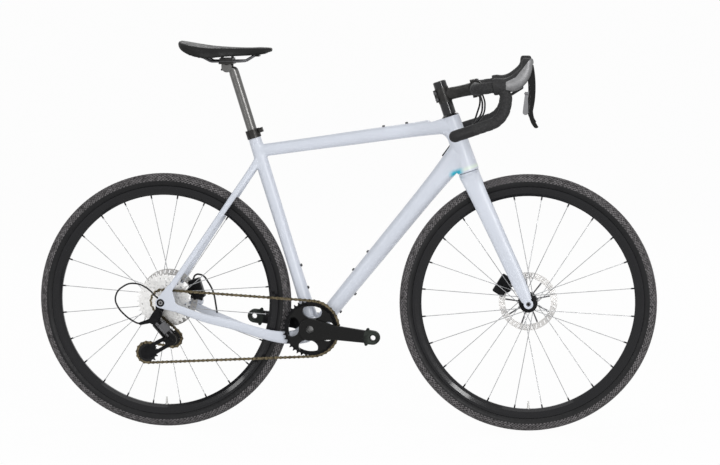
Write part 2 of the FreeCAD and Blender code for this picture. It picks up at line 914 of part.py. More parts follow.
def rotor(label, centre, y):
    """A brake rotor: windows between its arms and slanted slots round its ring."""
    owner = doc.addObject("PartDesign::Body", label + "_disc")
    disc = owner.newObject("Sketcher::SketchObject", label + "_rings")
    disc.AttachmentSupport = [(plane_of(owner, "XY_Plane"), "")]
    disc.MapMode = "FlatFace"
    for index, size in enumerate((d("rotor_radius"), d("bearing_radius") + 3.2)):
        disc.addGeometry(Part.Circle(Vector(0, 0, 0), Z, size.value), False)
        disc.addConstraint(Sketcher.Constraint("Coincident", index, 3, -1, 1))
        made = disc.addConstraint(Sketcher.Constraint("Radius", index, size.value))
        disc.setExpression("Constraints[%d]" % made, size.text)
    plate = owner.newObject("PartDesign::Pad", label + "_plate")
    plate.Profile = disc
    plate.setExpression("Length", d("rotor_thickness").text)
    doc.recompute()
    ring_in = d("rotor_radius") - d("rotor_ring_width")
    carrier = d("rotor_carrier_radius")
    window = outline(
        owner,
        [
            (carrier, carrier * -0.24),
            (ring_in * 0.95, ring_in * -0.20),
            (ring_in * 0.975, ring_in * 0.10),
            (ring_in * 0.90, ring_in * 0.40),
            (carrier * 0.96, carrier * 0.34),
        ],
        "window",
    )
    slot_in = ring_in + 3.0
    slot_out = d("rotor_radius") - 3.0
    slot = outline(owner, [(slot_in, -1.6), (slot_out, 1.4), (slot_out, 4.4), (slot_in, 1.4)], "slot")
    for name, sketch, times in (("_window", window, 9), ("_slot", slot, 36)):
        pocket = owner.newObject("PartDesign::Pocket", label + name + "_cut")
        pocket.Profile = sketch
        pocket.Type = "ThroughAll"
        pocket.Reversed = True
        pattern = owner.newObject("PartDesign::PolarPattern", label + name + "_round")
        pattern.Originals = [pocket]
        pattern.Axis = (sketch, ["N_Axis"])
        pattern.Angle = 360.0
        pattern.Occurrences = times
        owner.Tip = pattern
        doc.recompute()
    owner.Placement = facing_y(centre.x, y - n.rotor_thickness / 2, centre.z)
    return keep(owner, label)


def valve(label, centre):
    """A valve stem through the rim, at the foot of the wheel."""
    nose = n.rim_nose_radius
    corners = [
        (d("valve_length") * -1 + 12.0, 0),
        (12.0, 0),
        (12.0, 3.0),
        (1.0, 3.0),
        (1.0, 5.0),
        (-3.0, 5.0),
        (-3.0, 3.0),
        (-15.0, 3.0),
        (-15.0, 2.2),
        (d("valve_length") * -1 + 12.0, 2.2),
    ]
    place = Placement(centre - Z * (nose + 1.0), Rotation(X, Z * -1))
    return keep(turned(label, [corners], place), label)


def thru_axle(label, centre, left_face, right_face, head_out, tail_out):
    """The axle with its head on the left, and the hub sleeve that it clamps."""
    gap = 0.1
    shaft = turned(
        label + "_shaft",
        [
            [
                (right_face - tail_out, 3.4),
                (right_face + 14.0, 3.4),
                (right_face + 14.0, 0),
                (left_face + head_out + 3.0, 0),
                (left_face + head_out + 3.0, 7.5),
                (left_face + head_out, 9.0),
                (left_face + head_out, d("axle_radius")),
                (right_face - tail_out, d("axle_radius")),
            ]
        ],
        along_y(centre.x, 0, centre.z),
    )
    sleeve = ring(
        label + "_sleeve",
        d("sleeve_radius"),
        d("axle_radius") + gap,
        left_face - right_face,
        facing_y(centre.x, right_face, centre.z),
    )
    return gathered(label, [shaft, sleeve])


# Fork and cockpit


def fork_blades():
    spread = n.front_hub_width / 2 + 6.8
    inner = n.tyre_width / 2 + n.tyre_gap + 1.0
    top = steer(crown_at - 8)
    foot = FRONT
    run = foot - top
    stations = []
    for share, y, height, width in (
        (0.0, inner - 8, 56, 26),
        (0.07, inner + 6, 52, 21),
        (0.2, inner + 9.5, 48, 19),
        (0.42, inner + 12.5, 44, 18),
        (0.65, inner + 17.5, 41, 16.5),
        (0.86, spread - 1.0, 37, 13.5),
        (0.975, spread, 29, 12.2),
    ):
        stations.append((top + run * share + Y * y, height, width))
    tip = Part.makeCylinder(13.0, 12.2, FRONT + Y * (spread - 6.1), Y)
    return fused([tube(stations), tip])


def fork():
    blade = fork_blades()
    steps = [
        rod(steer(crown_at - 4), steer(crown_at + 12), n.steerer_low_radius),
        Part.makeCone(n.steerer_low_radius, n.steerer_radius, 60.0, steer(crown_at + 12), HEAD_UP),
        rod(steer(crown_at + 72), steer(top_spacer_top - 2), n.steerer_radius),
    ]
    wide = 2 * (n.tyre_width / 2 + n.tyre_gap) + 20
    sections = [
        oval(steer(crown_at), HEAD_UP, 57, 57, 2.0),
        oval(steer(crown_at - 6), HEAD_UP, 57, 62, 2.1),
        oval(steer(crown_at - 16), HEAD_UP, 56, wide, 2.6),
        oval(steer(crown_at - 25, 2), HEAD_UP, 50, wide + 2, 2.8),
    ]
    crown = Part.makeLoft(sections, True, False)
    solid = fused([crown, blade, mirrored(blade)] + steps)
    bores = [
        rod(steer(crown_at + 30), steer(top_spacer_top + 5), n.steerer_radius - 2.6),
        rod(FRONT - Y * 90, FRONT + Y * 90, n.axle_radius + 0.1),
    ]
    return feature("fork", solid.cut(bores))


def headset_stack():
    inner = d("steerer_radius") + 0.1
    outer = d("spacer_radius")
    made = []
    cover = turned(
        "headset_cover",
        [
            [
                (0.3, inner),
                (d("cover_height"), inner),
                (d("cover_height"), outer),
                (1.0, d("head_radius_top") - 0.5),
                (0.3, d("head_radius_top") - 0.5),
            ]
        ],
        Placement(steer(head_top), Rotation(X, HEAD_UP)),
    )
    made.append(cover)
    for index, (low, tall) in enumerate(
        ((cover_top, n.spacer_stack * 0.6), (cover_top + n.spacer_stack * 0.6, n.spacer_stack * 0.4))
    ):
        made.append(ring("spacer_%d" % index, outer, inner, tall, upright(steer(low), HEAD_UP)))
    made.append(ring("spacer_top", outer, inner, d("top_spacer"), upright(steer(stem_top), HEAD_UP)))
    cap = turned(
        "top_cap",
        [
            [
                (0, 0),
                (3.6, 0),
                (3.6, 3.2),
                (4.6, 5.0),
                (4.6, outer - 2.5),
                (2.6, outer),
                (0, outer),
            ]
        ],
        Placement(steer(top_spacer_top), Rotation(X, HEAD_UP)),
    )
    made.append(cap)
    return gathered("headset_spacers", made)


rise = math.radians(n.stem_rise)
STEM_ALONG = Vector(math.cos(rise), 0, math.sin(rise))
STEM_FOOT = steer((spacers_top + stem_top) / 2)
BAR = STEM_FOOT + STEM_ALONG * n.stem_length


def stem_parts():
    split = 0.9
    outer = n.bar_clamp_radius + 4.6
    half = n.stem_clamp_width / 2
    collar = rod(steer(spacers_top), steer(stem_top), n.steerer_radius + 4.6)
    arm = tube(
        [
            (STEM_FOOT + STEM_ALONG * 2, 36, 34),
            (STEM_FOOT + STEM_ALONG * (n.stem_length * 0.35), 33, 31),
            (STEM_FOOT + STEM_ALONG * (n.stem_length * 0.7), 33, 34),
            (BAR - STEM_ALONG * 9, 36, 40),
        ],
        2.8,
    )
    back_lug = box_at(STEM_FOOT - STEM_ALONG * (n.steerer_radius + 5), 10, 20, 34, 90 - n.head_angle)
    clamp = rod(BAR - Y * half, BAR + Y * half, outer)
    seat_bore = rod(BAR - Y * 60, BAR + Y * 60, n.bar_clamp_radius + 0.05)
    steer_bore = rod(steer(spacers_top - 10), steer(stem_top + 10), n.steerer_radius + 0.05)
    slit = box_at(STEM_FOOT - STEM_ALONG * (n.steerer_radius + 6), 30, 2.0, 60, 90 - n.head_angle)
    ahead = box_at(BAR + STEM_ALONG * 50, 100, 100, 100, n.stem_rise)
    behind = box_at(BAR - STEM_ALONG * (50 - split), 100, 100, 100, n.stem_rise)
    lift = Vector(-STEM_ALONG.z, 0, STEM_ALONG.x)
    ears = []
    bolts = []
    bolt_holes = []
    head_rooms = []
    for up in (-1, 1):
        for y in (-1, 1):
            mid = BAR + lift * (up * (outer - 1.0)) + Y * (y * (half - 8))
            ears.append(rod(mid - STEM_ALONG * 12, mid + STEM_ALONG * 8, 5.4))
            bolt_holes.append(rod(mid - STEM_ALONG * 13, mid + STEM_ALONG * 20, 2.6))
            head_rooms.append(rod(mid + STEM_ALONG * 8.05, mid + STEM_ALONG * 30, 4.5))
            shank = rod(mid - STEM_ALONG * 11, mid + STEM_ALONG * 8.2, 2.5)
            bolts.append(shank.fuse(rod(mid + STEM_ALONG * 8.1, mid + STEM_ALONG * 12, 4.2)))
    for up in (-1, 1):
        mid = STEM_FOOT - STEM_ALONG * (n.steerer_radius + 6.5) + HEAD_UP * (up * 9)
        bolt_holes.append(rod(mid - Y * 20, mid + Y * 20, 2.6))
        shank = rod(mid - Y * 10.2, mid + Y * 9, 2.5)
        bolts.append(shank.fuse(rod(mid - Y * 13.5, mid - Y * 10.1, 4.2)))
    whole_clamp = fused([clamp] + ears)
    rear_half = fused([collar, arm, back_lug, whole_clamp.cut(ahead)])
    stem = rear_half.cut([seat_bore, steer_bore, slit] + bolt_holes + [ahead])
    front_half = whole_clamp.cut([behind, seat_bore] + bolt_holes + head_rooms)
    feature("stem", stem)
    feature("stem_faceplate", front_half)
    group("stem_bolts", bolts)


def bar_points():
    half = n.bar_width / 2
    ahead = n.bar_reach
    return [
        BAR,
        BAR + Vector(0, -half + 6, 0),
        BAR + Vector(ahead, -half, 13.3),
        BAR + Vector(ahead - 17, -half - n.bar_flare * 0.28, -n.bar_drop * 0.66),
        BAR + Vector(ahead - 145, -half - n.bar_flare, -n.bar_drop),
    ]


def bar_run(start_y=0.0):
    points = bar_points()
    points[0] = points[0] - Y * start_y
    return rounded_run(points, [42.0, 33.0, 62.0])


def handlebar_parts():
    tape_r = n.bar_radius + n.tape_thickness
    run = bar_run()
    half_bar = swept(run, n.bar_radius)
    bulge = Part.makeCone(n.bar_clamp_radius, n.bar_radius - 0.6, 22, BAR - Y * 38, Y * -1)
    grip = rod(BAR - Y * 38, BAR, n.bar_clamp_radius)
    hollow = swept(run, n.bar_radius - n.bar_wall)
    right = fused([half_bar, bulge, grip]).cut(hollow)
    feature("handlebar", right.fuse(mirrored(right)).removeSplitter())
    taped = bar_run(n.tape_start)
    tape = swept(taped, tape_r).cut(swept(taped, n.bar_radius + 0.02))
    group("bar_tape", both(tape))
    end = bar_points()[-1]
    along = (end - bar_points()[-2]).normalize()
    plug = rod(end - along * 14, end, n.bar_radius - n.bar_wall - 0.1)
    ball = Part.makeSphere(tape_r - 0.3, end)
    cap = ball.common(rod(end + along * 0.02, end + along * 40, tape_r + 5))
    group("bar_end_plugs", both(plug.fuse(cap).fuse(rod(end - along, end + along, 6.0))))


LEVER_Y = -n.bar_width / 2
LEVER_PIVOT = BAR + Vector(n.bar_reach + 53.5, LEVER_Y, 56.3)


def hood_shape():
    """The hood and bracket: a body lofted forward and up to its horn, slotted for the lever."""
    stations = []
    for ahead, up, lean_x, lean_z, height, width in (
        (-44, 10.8, 1, 0.13, 37, 36),
        (-18, 10.8, 1, 0.15, 40, 38),
        (8, 16.3, 1, 0.4, 43, 38),
        (28, 30.3, 0.75, 0.7, 46, 37),
        (41, 50.3, 0.4, 0.92, 42, 35),
        (46.5, 70, 0.12, 1, 36, 33),
        (48, 82, 0, 1, 32, 29),
        (48, 88, 0, 1, 20, 18),
    ):
        along = Vector(lean_x, 0, lean_z).normalize()
        place = BAR + Vector(n.bar_reach + ahead, LEVER_Y, up)
        stations.append(oval(place, along, height, width, 2.3))
    cap = Part.makeLoft(stations, True, False)
    slot = box_at(LEVER_PIVOT + Vector(22, 0, -30), 82, 14.4, 92)
    pin = rod(LEVER_PIVOT - Y * 11, LEVER_PIVOT + Y * 11, 2.4)
    bar_room = swept(bar_run(), n.bar_radius + n.tape_thickness + 0.03)
    return cap.cut([slot, bar_room]), pin


def lever_outline(y_low, y_high):
    p = LEVER_PIVOT
    points = [
        (p.x - 9, p.z + 6),
        (p.x + 11, p.z + 10, p.x + 0.5, p.z + 12),
        (p.x + 16.5, p.z - 52, p.x + 15.5, p.z - 22),
        (p.x + 9.5, p.z - 112, p.x + 14.5, p.z - 84),
        (p.x + 24, p.z - 155, p.x + 14.5, p.z - 137),
        (p.x + 12, p.z - 156, p.x + 18.5, p.z - 158.5),
        (p.x - 1, p.z - 116, p.x + 1.5, p.z - 137),
        (p.x + 1.5, p.z - 54, p.x + 1.5, p.z - 84),
        (p.x - 6, p.z - 14, p.x - 1, p.z - 33),
    ]
    return slab(points, y_low, y_high)


PADDLE_HINGE = LEVER_PIVOT + Vector(-6.5, 0, -66.0)
THUMB_HINGE = LEVER_PIVOT + Vector(-22.0, 0, -40.0)


def lever_parts():
    hood, pin = hood_shape()
    thumb_low = LEVER_Y + 19.6
    thumb_pin = rod(THUMB_HINGE + Y * 8, THUMB_HINGE + Y * 25.5, 2.4)
    group("lever_hoods", [hood.fuse(thumb_pin), mirrored(hood)] + both(pin))
    eye = rod(LEVER_PIVOT - Y * 20, LEVER_PIVOT + Y * 20, 2.4 + n.running_gap)
    blade = lever_outline(LEVER_Y - 6.5, LEVER_Y + 6.5).cut(eye)
    hinge = PADDLE_HINGE
    stub = rod(hinge + X * 11, hinge - X * 7, 2.0)
    feature("brake_lever_right", blade.fuse(stub))
    feature("brake_lever_left", mirrored(blade))
    sleeve = rod(hinge + X * 5, hinge - X * 5.5, 4.2)
    leaf = belt(hinge - X * 1.5 - Z * 2, 4.0, hinge + Vector(-4, 0, -50), 7.5, LEVER_Y - 1.6, LEVER_Y + 1.6)
    bore = rod(hinge + X * 20, hinge - X * 20, 2.0 + n.running_gap)
    feature("shift_paddle", sleeve.fuse(leaf).cut(bore))
    elbow = THUMB_HINGE + Vector(2, 0, -11)
    tip = THUMB_HINGE + Vector(-30, 0, -32)
    thumb = fused(
        [
            belt(THUMB_HINGE, 6.0, elbow, 4.5, thumb_low, thumb_low + 4.5),
            belt(elbow, 4.5, tip, 3.4, thumb_low, thumb_low + 4.5),
        ]
    )
    thumb_bore = rod(THUMB_HINGE, THUMB_HINGE + Y * 60, 2.4 + n.running_gap)
    feature("thumb_lever", thumb.cut(thumb_bore))


# Seat


def seat_parts():
    post_r = n.seatpost_diameter / 2
    foot_at = n.seat_tube_length - n.post_insert
    head_at = n.post_clamp_up + 10
    clamp = seat(n.post_clamp_up + 44, -9)
    hollow = rod(seat(foot_at - 5), seat(head_at - 6), post_r - 2.4)
    post = rod(seat(foot_at), seat(head_at), post_r).cut(hollow)
    sections = [
        oval(seat(head_at), SEAT_UP, 26.0, 26.0, 2.0),
        oval(seat(head_at + 12, -3), SEAT_UP, 26.5, 26.5, 2.0),
        oval(clamp - Z * 16 - X, SEAT_UP + Z, 24.0, 28.0, 2.0),
    ]
    neck = Part.makeLoft(sections, True, False)
    yoke = Part.makeCylinder(14.2, 28.6, clamp - Z * 15 - Y * 14.3, Y)
    rooms = [rod(clamp - Y * 40, clamp + Y * 40, 9.2), box_at(clamp - Z * 2.5, 44, 60, 7.2)]
    for side in (-1, 1):
        at = clamp + X * (side * 14.5)
        rooms.append(rod(at - Z * 29, at + Z * 8, 4.4))
    feature("seatpost", main_solid(fused([post, neck, yoke]).cut(rooms)))
    return clamp


def saddle_parts(clamp):
    rail_z = clamp.z + 1.5
    spread = n.rail_spread
    r = n.rail_radius
    top_z = n.saddle_height
    nose = clamp.x + 124.0
    tail = nose - n.saddle_length
    rails = []
    for side in (-1, 1):
        y = side * spread
        points = [
            Vector(nose - 44, side * 9, top_z - 20),
            Vector(nose - 72, side * 16, rail_z + 1),
            Vector(clamp.x - 42, y, rail_z),
            Vector(tail + 52, y + side * 6, top_z - 18),
        ]
        points.insert(2, Vector(clamp.x + 40, y, rail_z))
        rails.append(swept(rounded_run(points, [14.0, 60.0, 18.0]), r))
    group("saddle_rails", rails)

    cradle = Part.makeCylinder(9.1, 40, Vector(clamp.x, -20, clamp.z - 15 + 15), Y)
    lower = box_at(Vector(clamp.x, 0, rail_z - 4.0), 40, 52, 7)
    upper = box_at(Vector(clamp.x, 0, rail_z + 5.2), 36, 52, 7)
    grooves = [
        rod(Vector(clamp.x - 60, s * spread, rail_z), Vector(clamp.x + 60, s * spread, rail_z), r + 0.02)
        for s in (-1, 1)
    ]
    bolts = []
    holes = []
    for side in (-1, 1):
        at = Vector(clamp.x + side * 14.5, 0, rail_z)
        bolts.append(rod(at - Z * 22, at + Z * 8, 2.4).fuse(rod(at - Z * 26, at - Z * 21.9, 4.0)))
        bolts[-1] = bolts[-1].fuse(rod(at + Z * 8.72, at + Z * 12.5, 4.0)).fuse(rod(at, at + Z * 9, 2.4))
        holes.append(rod(at - Z * 40, at + Z * 40, 2.5))
    lower = fused([lower, cradle]).cut(grooves + holes)
    upper = upper.cut(grooves + holes)
    group("saddle_clamp", [lower, upper] + bolts)

    stations = (
        (0.0, 18, 0.42, 8),
        (0.055, 16.5, 0.83, 24),
        (0.17, 11.5, 1.0, 33),
        (0.3, 6.5, 0.93, 35),
        (0.45, 3.0, 0.64, 30),
        (0.62, 1.2, 0.42, 25),
        (0.8, 0.5, 0.31, 21),
        (0.94, 0.0, 0.25, 16),
        (1.0, -1.5, 0.17, 11),
    )

    def arch(x, crest, half, fall, thick):
        """An arched section across the saddle."""
        edge = crest - fall
        shoulder = Vector(x, half * 0.84, crest - fall * 0.16)
        side = Vector(x, half * 0.985, crest - fall * 0.5)
        rim_at = Vector(x, half, edge)
        under = Vector(x, 0, crest - thick)
        far_shoulder, far_side, far_rim = [Vector(v.x, -v.y, v.z) for v in (shoulder, side, rim_at)]
        return Part.Wire(
            [
                Part.Arc(far_shoulder, Vector(x, 0, crest), shoulder).toShape(),
                Part.Arc(shoulder, side, rim_at).toShape(),
                Part.Arc(rim_at, under, far_rim).toShape(),
                Part.Arc(far_rim, far_side, far_shoulder).toShape(),
            ]
        )

    wires = []
    for share, up, half, fall in stations:
        x = tail + n.saddle_length * share
        wires.append(arch(x, top_z + up, n.saddle_half_width * half, fall, min(13.0, fall * 0.62)))
    pad = Part.makeLoft(wires, True, False)
    feature("saddle_pad", pad)
    wires = []
    for share, up, half, fall in stations[1:-1]:
        x = tail + n.saddle_length * share
        thick = min(13.0, fall * 0.62)
        under = top_z + up - thick - 0.9
        wires.append(shell_section(x, under, n.saddle_half_width * half, fall - thick))
    shell = Part.makeLoft(wires, True, False)
    blocks = [box_at(Vector(nose - 44, 0, top_z - 20.3), 20, 26, 9.4)]
    for side in (-1, 1):
        blocks.append(box_at(Vector(tail + 50, side * (n.rail_spread + 6), top_z - 16.2), 16, 14, 15.6))
    feature("saddle_shell", fused([shell] + blocks).cut(rails))


def shell_section(x, under, half, droop):
    """A thin arch that follows the underside of the pad."""
    radius = (half * half + droop * droop) / (2 * droop)
    side = half * 0.86
    edge = under - radius + math.sqrt(radius * radius - side * side)
    corners = [Vector(x, y, z) for y, z in ((-side, edge), (side, edge), (side, edge - 2), (-side, edge - 2))]
    return Part.Wire(
        [
            Part.Arc(corners[0], Vector(x, 0, under), corners[1]).toShape(),
            Part.makeLine(corners[1], corners[2]),
            Part.Arc(corners[2], Vector(x, 0, under - 3.2), corners[3]).toShape(),
            Part.makeLine(corners[3], corners[0]),
        ]
    )


# Drive


def pitch_radius(teeth):
    return n.chain_pitch / (2 * math.sin(math.pi / teeth))


def polar(radius, angle):
    return Vector(math.cos(angle) * radius, 0, math.sin(angle) * radius)


def toothed(teeth, phase, y_low, y_high, centre):
    """A toothed disc with a roller seat at the phase angle, thick along Y."""
    radius = pitch_radius(teeth)
    seat_r = n.roller_radius + n.seat_gap
    tip_r = radius + n.tooth_height
    opening = math.radians(60)
    half_tip = 0.75 / tip_r
    lift = Y * y_low
    edges = []
    first = None
    last = None
    for index in range(teeth):
        angle = phase + 2 * math.pi * index / teeth
        middle = polar(radius, angle)
        out = polar(1, angle)
        round_ = polar(1, angle + math.pi / 2)
        a = middle - out * (seat_r * math.cos(opening)) - round_ * (seat_r * math.sin(opening))
        b = middle - out * seat_r
        c = middle - out * (seat_r * math.cos(opening)) + round_ * (seat_r * math.sin(opening))
        tip = angle + math.pi / teeth
        tip_a = polar(tip_r, tip - half_tip)
        tip_b = polar(tip_r, tip + half_tip)
        if last is None:
            first = a
        else:
            edges.append(Part.LineSegment(last, a).toShape())
        edges.append(Part.Arc(a, b, c).toShape())
        edges.append(Part.LineSegment(c, tip_a).toShape())
        edges.append(Part.LineSegment(tip_a, tip_b).toShape())
        last = tip_b
    edges.append(Part.LineSegment(last, first).toShape())
    disc = Part.Face(Part.Wire(edges)).extrude(Y * (y_high - y_low))
    disc.translate(centre + lift)
    return disc


COG_TEETH = COGS[ENGAGED]
UPPER_JOCKEY = REAR + Vector(28.0, 0, -101.0)


def lower_jockey(angle):
    return UPPER_JOCKEY + polar(n.cage_length, math.radians(angle))


def chain_loop(angle):
    """The pitch line as straight runs and arcs: (start, stop) or (centre, radius, from, sweep)."""
    wheels = [
        (BB, pitch_radius(int(n.chainring_teeth)), 1),
        (lower_jockey(angle), pitch_radius(int(n.lower_jockey_teeth)), 1),
        (UPPER_JOCKEY, pitch_radius(int(n.upper_jockey_teeth)), -1),
        (REAR, pitch_radius(COG_TEETH), 1),
    ]
    runs = []
    for index, (centre, radius, sense) in enumerate(wheels):
        other, other_radius, other_sense = wheels[(index + 1) % 4]
        apart = other - centre
        offset = sense * radius - other_sense * other_radius
        length = math.sqrt(apart.x ** 2 + apart.z ** 2 - offset ** 2)
        heading = math.atan2(apart.z, apart.x) - math.atan2(offset, length)
        left = polar(1, heading + math.pi / 2)
        runs.append((centre + left * (sense * radius), other + left * (other_sense * other_radius)))
    pieces = []
    for index, (centre, radius, sense) in enumerate(wheels):
        arrive = runs[index - 1][1] - centre
        leave = runs[index][0] - centre
        begin = math.atan2(arrive.z, arrive.x)
        finish = math.atan2(leave.z, leave.x)
        sweep = (begin - finish) % (2 * math.pi) if sense > 0 else (finish - begin) % (2 * math.pi)
        pieces.append((centre, radius, begin, -sense * sweep))
        pieces.append(runs[index])
    return pieces


def piece_length(piece):
    if len(piece) == 2:
        return (piece[1] - piece[0]).Length
    return abs(piece[3]) * piece[1]


def loop_point(pieces, spans, along):
    for piece, span in zip(pieces + pieces, spans + spans):
        if along <= span:
            break
        along -= span
    if len(piece) == 2:
        return piece[0] + (piece[1] - piece[0]) * (along / span)
    return piece[0] + polar(piece[1], piece[2] + piece[3] * (along / span))


def walk(angle, count):
    """Rollers one pitch apart along the loop, and how far past the start the last step lands."""
    pieces = chain_loop(angle)
    spans = [piece_length(piece) for piece in pieces]
    start = 4.0
    at = start
    places = []
    for _ in range(count):
        here = loop_point(pieces, spans, at)
        places.append(here)
        step = n.chain_pitch
        for _ in range(6):
            step += n.chain_pitch - (loop_point(pieces, spans, at + step) - here).Length
        at += step
    return places, at - start - sum(spans)


def settle_chain():
    """The cage angle near the one on the sheet at which an even number of links closes the loop."""
    aim = n.cage_angle
    total = sum(piece_length(piece) for piece in chain_loop(aim))
    count = 2 * round(total / n.chain_pitch / 2)
    low = aim - 25.0
    high = aim + 25.0
    sense = walk(low, count)[1]
    for _ in range(40):
        middle = (low + high) / 2
        if walk(middle, count)[1] * sense > 0:
            low = middle
        else:
            high = middle
    return (low + high) / 2, count


CAGE_ANGLE, LINK_COUNT = settle_chain()
ROLLERS = walk(CAGE_ANGLE, LINK_COUNT)[0]
LOWER_JOCKEY = lower_jockey(CAGE_ANGLE)
CHAIN_Y = -n.chain_line


def roller_phase(centre, teeth):
    """The angle of a roller that lies on a wheel's pitch circle."""
    radius = pitch_radius(teeth)
    near = min(ROLLERS, key=lambda place: abs((place - centre).Length - radius))
    return math.atan2(near.z - centre.z, near.x - centre.x)


def link_plate(y, thickness, end, waist):
    half = n.chain_pitch / 2
    c = end * math.cos(math.radians(35))
    s = end * math.sin(math.radians(35))
    return slab(
        [
            (-half + s, c),
            (half - s, c, 0, waist),
            (half - s, -c, half + end, 0),
            (-half + s, -c, 0, -waist),
            (-half + s, c, -half - end, 0),
        ],
        y - thickness / 2,
        y + thickness / 2,
    )


def chain():
    half = n.chain_pitch / 2
    inner = [link_plate(side * 1.4, 0.7, 4.1, 2.8) for side in (-1, 1)]
    outer = [link_plate(side * 2.13, 0.65, 4.1, 2.8) for side in (-1, 1)]
    pins = []
    bores = []
    for side in (-1, 1):
        at = X * (side * half)
        inner.append(rod(at - Y * 1.2, at + Y * 1.2, n.roller_radius))
        bores.append(rod(at - Y * 6, at + Y * 6, 1.9))
        pins.append(rod(at - Y * 2.5, at + Y * 2.5, 1.8))
    inner = fused(inner).cut(bores)
    outer = fused(outer + pins)
    links = []
    for index, here in enumerate(ROLLERS):
        there = ROLLERS[(index + 1) % LINK_COUNT]
        turn = math.degrees(math.atan2(there.z - here.z, there.x - here.x))
        link = (inner if index % 2 else outer).copy()
        link.Placement = Placement((here + there) * 0.5 + Y * CHAIN_Y, Rotation(Y, -turn))
        links.append(link)
    return group("chain", links)


def cog_y(index):
    return CHAIN_Y + (index - ENGAGED) * n.cog_pitch


def cassette():
    half = n.tooth_thickness / 2
    shapes = []
    core = n.freehub_radius
    small = 12.6
    step = 3
    for index, teeth in enumerate(COGS):
        y = cog_y(index)
        phase = roller_phase(REAR, COG_TEETH) if index == ENGAGED else 0.3 * index
        disc = toothed(teeth, phase, y - half, y + half, REAR)
        bore = small if index < step else core
        low = y - half
        high = y - half + n.cog_pitch
        if index == len(COGS) - 1:
            high = y + half
        carrier = pipe(REAR + Y * low, REAR + Y * high, bore + (1.4 if index < step else 4.5), bore)
        disc = disc.fuse(carrier).cut(rod(REAR + Y * (low - 5), REAR + Y * (high + 5), bore))
        root = pitch_radius(teeth) - 6.5
        wide = root - core - 4.5
        if wide > 7:
            rows = [core + 4.5 + wide / 2] if wide < 20 else [core + 12.0, core + 4.5 + wide - 8.5]
            holes = []
            for row_index, middle in enumerate(rows):
                count = int(2 * math.pi * middle / 15)
                size = min(5.2, wide / 2 - 1.6)
                for number in range(count):
                    at = REAR + polar(middle, 2 * math.pi * (number + row_index * 0.5) / count)
                    holes.append(rod(at + Y * (low - 5), at + Y * (high + 5), size))
            disc = disc.cut(holes)
        shapes.append(disc)
    inboard = cog_y(len(COGS) - 1) + half + 2.2
    outboard = cog_y(0) - half
    change = cog_y(step) - half
    bore_r = n.sleeve_radius + n.running_gap
    freehub = rod(REAR + Y * change, REAR + Y * inboard, core - 0.02)
    freehub = freehub.fuse(rod(REAR + Y * outboard, REAR + Y * change, small - 0.02))
    freehub = freehub.cut(rod(REAR - Y * 100, REAR + Y * 100, bore_r))
    lockring = pipe(REAR + Y * (outboard - 2.6), REAR + Y * outboard, small + 1.6, bore_r + 0.3)
    return group("cassette", shapes + [freehub, lockring])


CRANK = math.radians(n.crank_angle)
PEDAL_R = BB + polar(n.crank_length, CRANK)
PEDAL_L = BB - polar(n.crank_length, CRANK)


def chainring():
    teeth = int(n.chainring_teeth)
    phase = roller_phase(BB, teeth)
    half = n.tooth_thickness / 2
    disc = toothed(teeth, phase, CHAIN_Y - half, CHAIN_Y + half, BB)
    body_r = pitch_radius(teeth) - n.roller_radius - 2.4
    low = CHAIN_Y - n.chainring_thickness / 2
    body = rod(BB + Y * low, BB + Y * (low + n.chainring_thickness), body_r)
    solid = disc.fuse(body).cut(rod(BB - Y * 100, BB + Y * 100, n.chainring_inner_radius))
    tabs = []
    holes = []
    bolts = []
    for at in spider_places():
        tabs.append(rod(at + Y * low, at + Y * (low + n.chainring_thickness), 8.0))
        holes.append(rod(at - Y * 100, at + Y * 100, 4.1))
        pin = rod(at + Y * (low - 4.2), at + Y * (low + n.chainring_thickness + 0.1), 4.0)
        back = low + n.chainring_thickness
        nut = rod(at + Y * (back + 0.02), at + Y * (back + 1.8), 6.0)
        bolts.append(pin.fuse(nut))
    solid = fused([solid] + tabs).cut(holes)
    return group("chainring", [solid] + bolts)


def spider_places():
    bolt_circle = n.chainring_inner_radius - 1.5
    return [BB + polar(bolt_circle, CRANK + math.radians(45 + 90 * turn)) for turn in range(4)]


def spider(low, high):
    """A plate with four oval openings, which leave its arms flared at both ends."""
    plate = rod(BB + Y * low, BB + Y * high, n.chainring_inner_radius + 4.0)
    openings = []
    for turn in range(4):
        angle = CRANK + math.radians(90 * turn)
        middle = BB + polar(n.chainring_inner_radius - 13.0, angle) + Y * (low - 1.0)
        across = middle + polar(27.0, angle + math.pi / 2)
        edge = Part.Ellipse(across, middle + polar(19.0, angle), middle).toShape()
        openings.append(Part.Face(Part.Wire(edge)).extrude(Y * (high - low + 2.0)))
    return plate.cut(openings)


def arm_sides(pedal, low, high, grow=0.0):
    """An arm's outline, wide at its root and slimmer from its waist on."""
    waist = BB + (pedal - BB).normalize() * n.crank_waist_reach
    root = belt(BB, n.crank_root_radius, waist, n.crank_waist_radius + grow, low, high)
    return root, belt(waist, n.crank_waist_radius + grow, pedal, n.crank_tip_radius + grow, low, high)


def flat_edges(shape):
    return [edge for edge in shape.Edges if abs(edge.tangentAt(edge.FirstParameter).y) < 0.5]


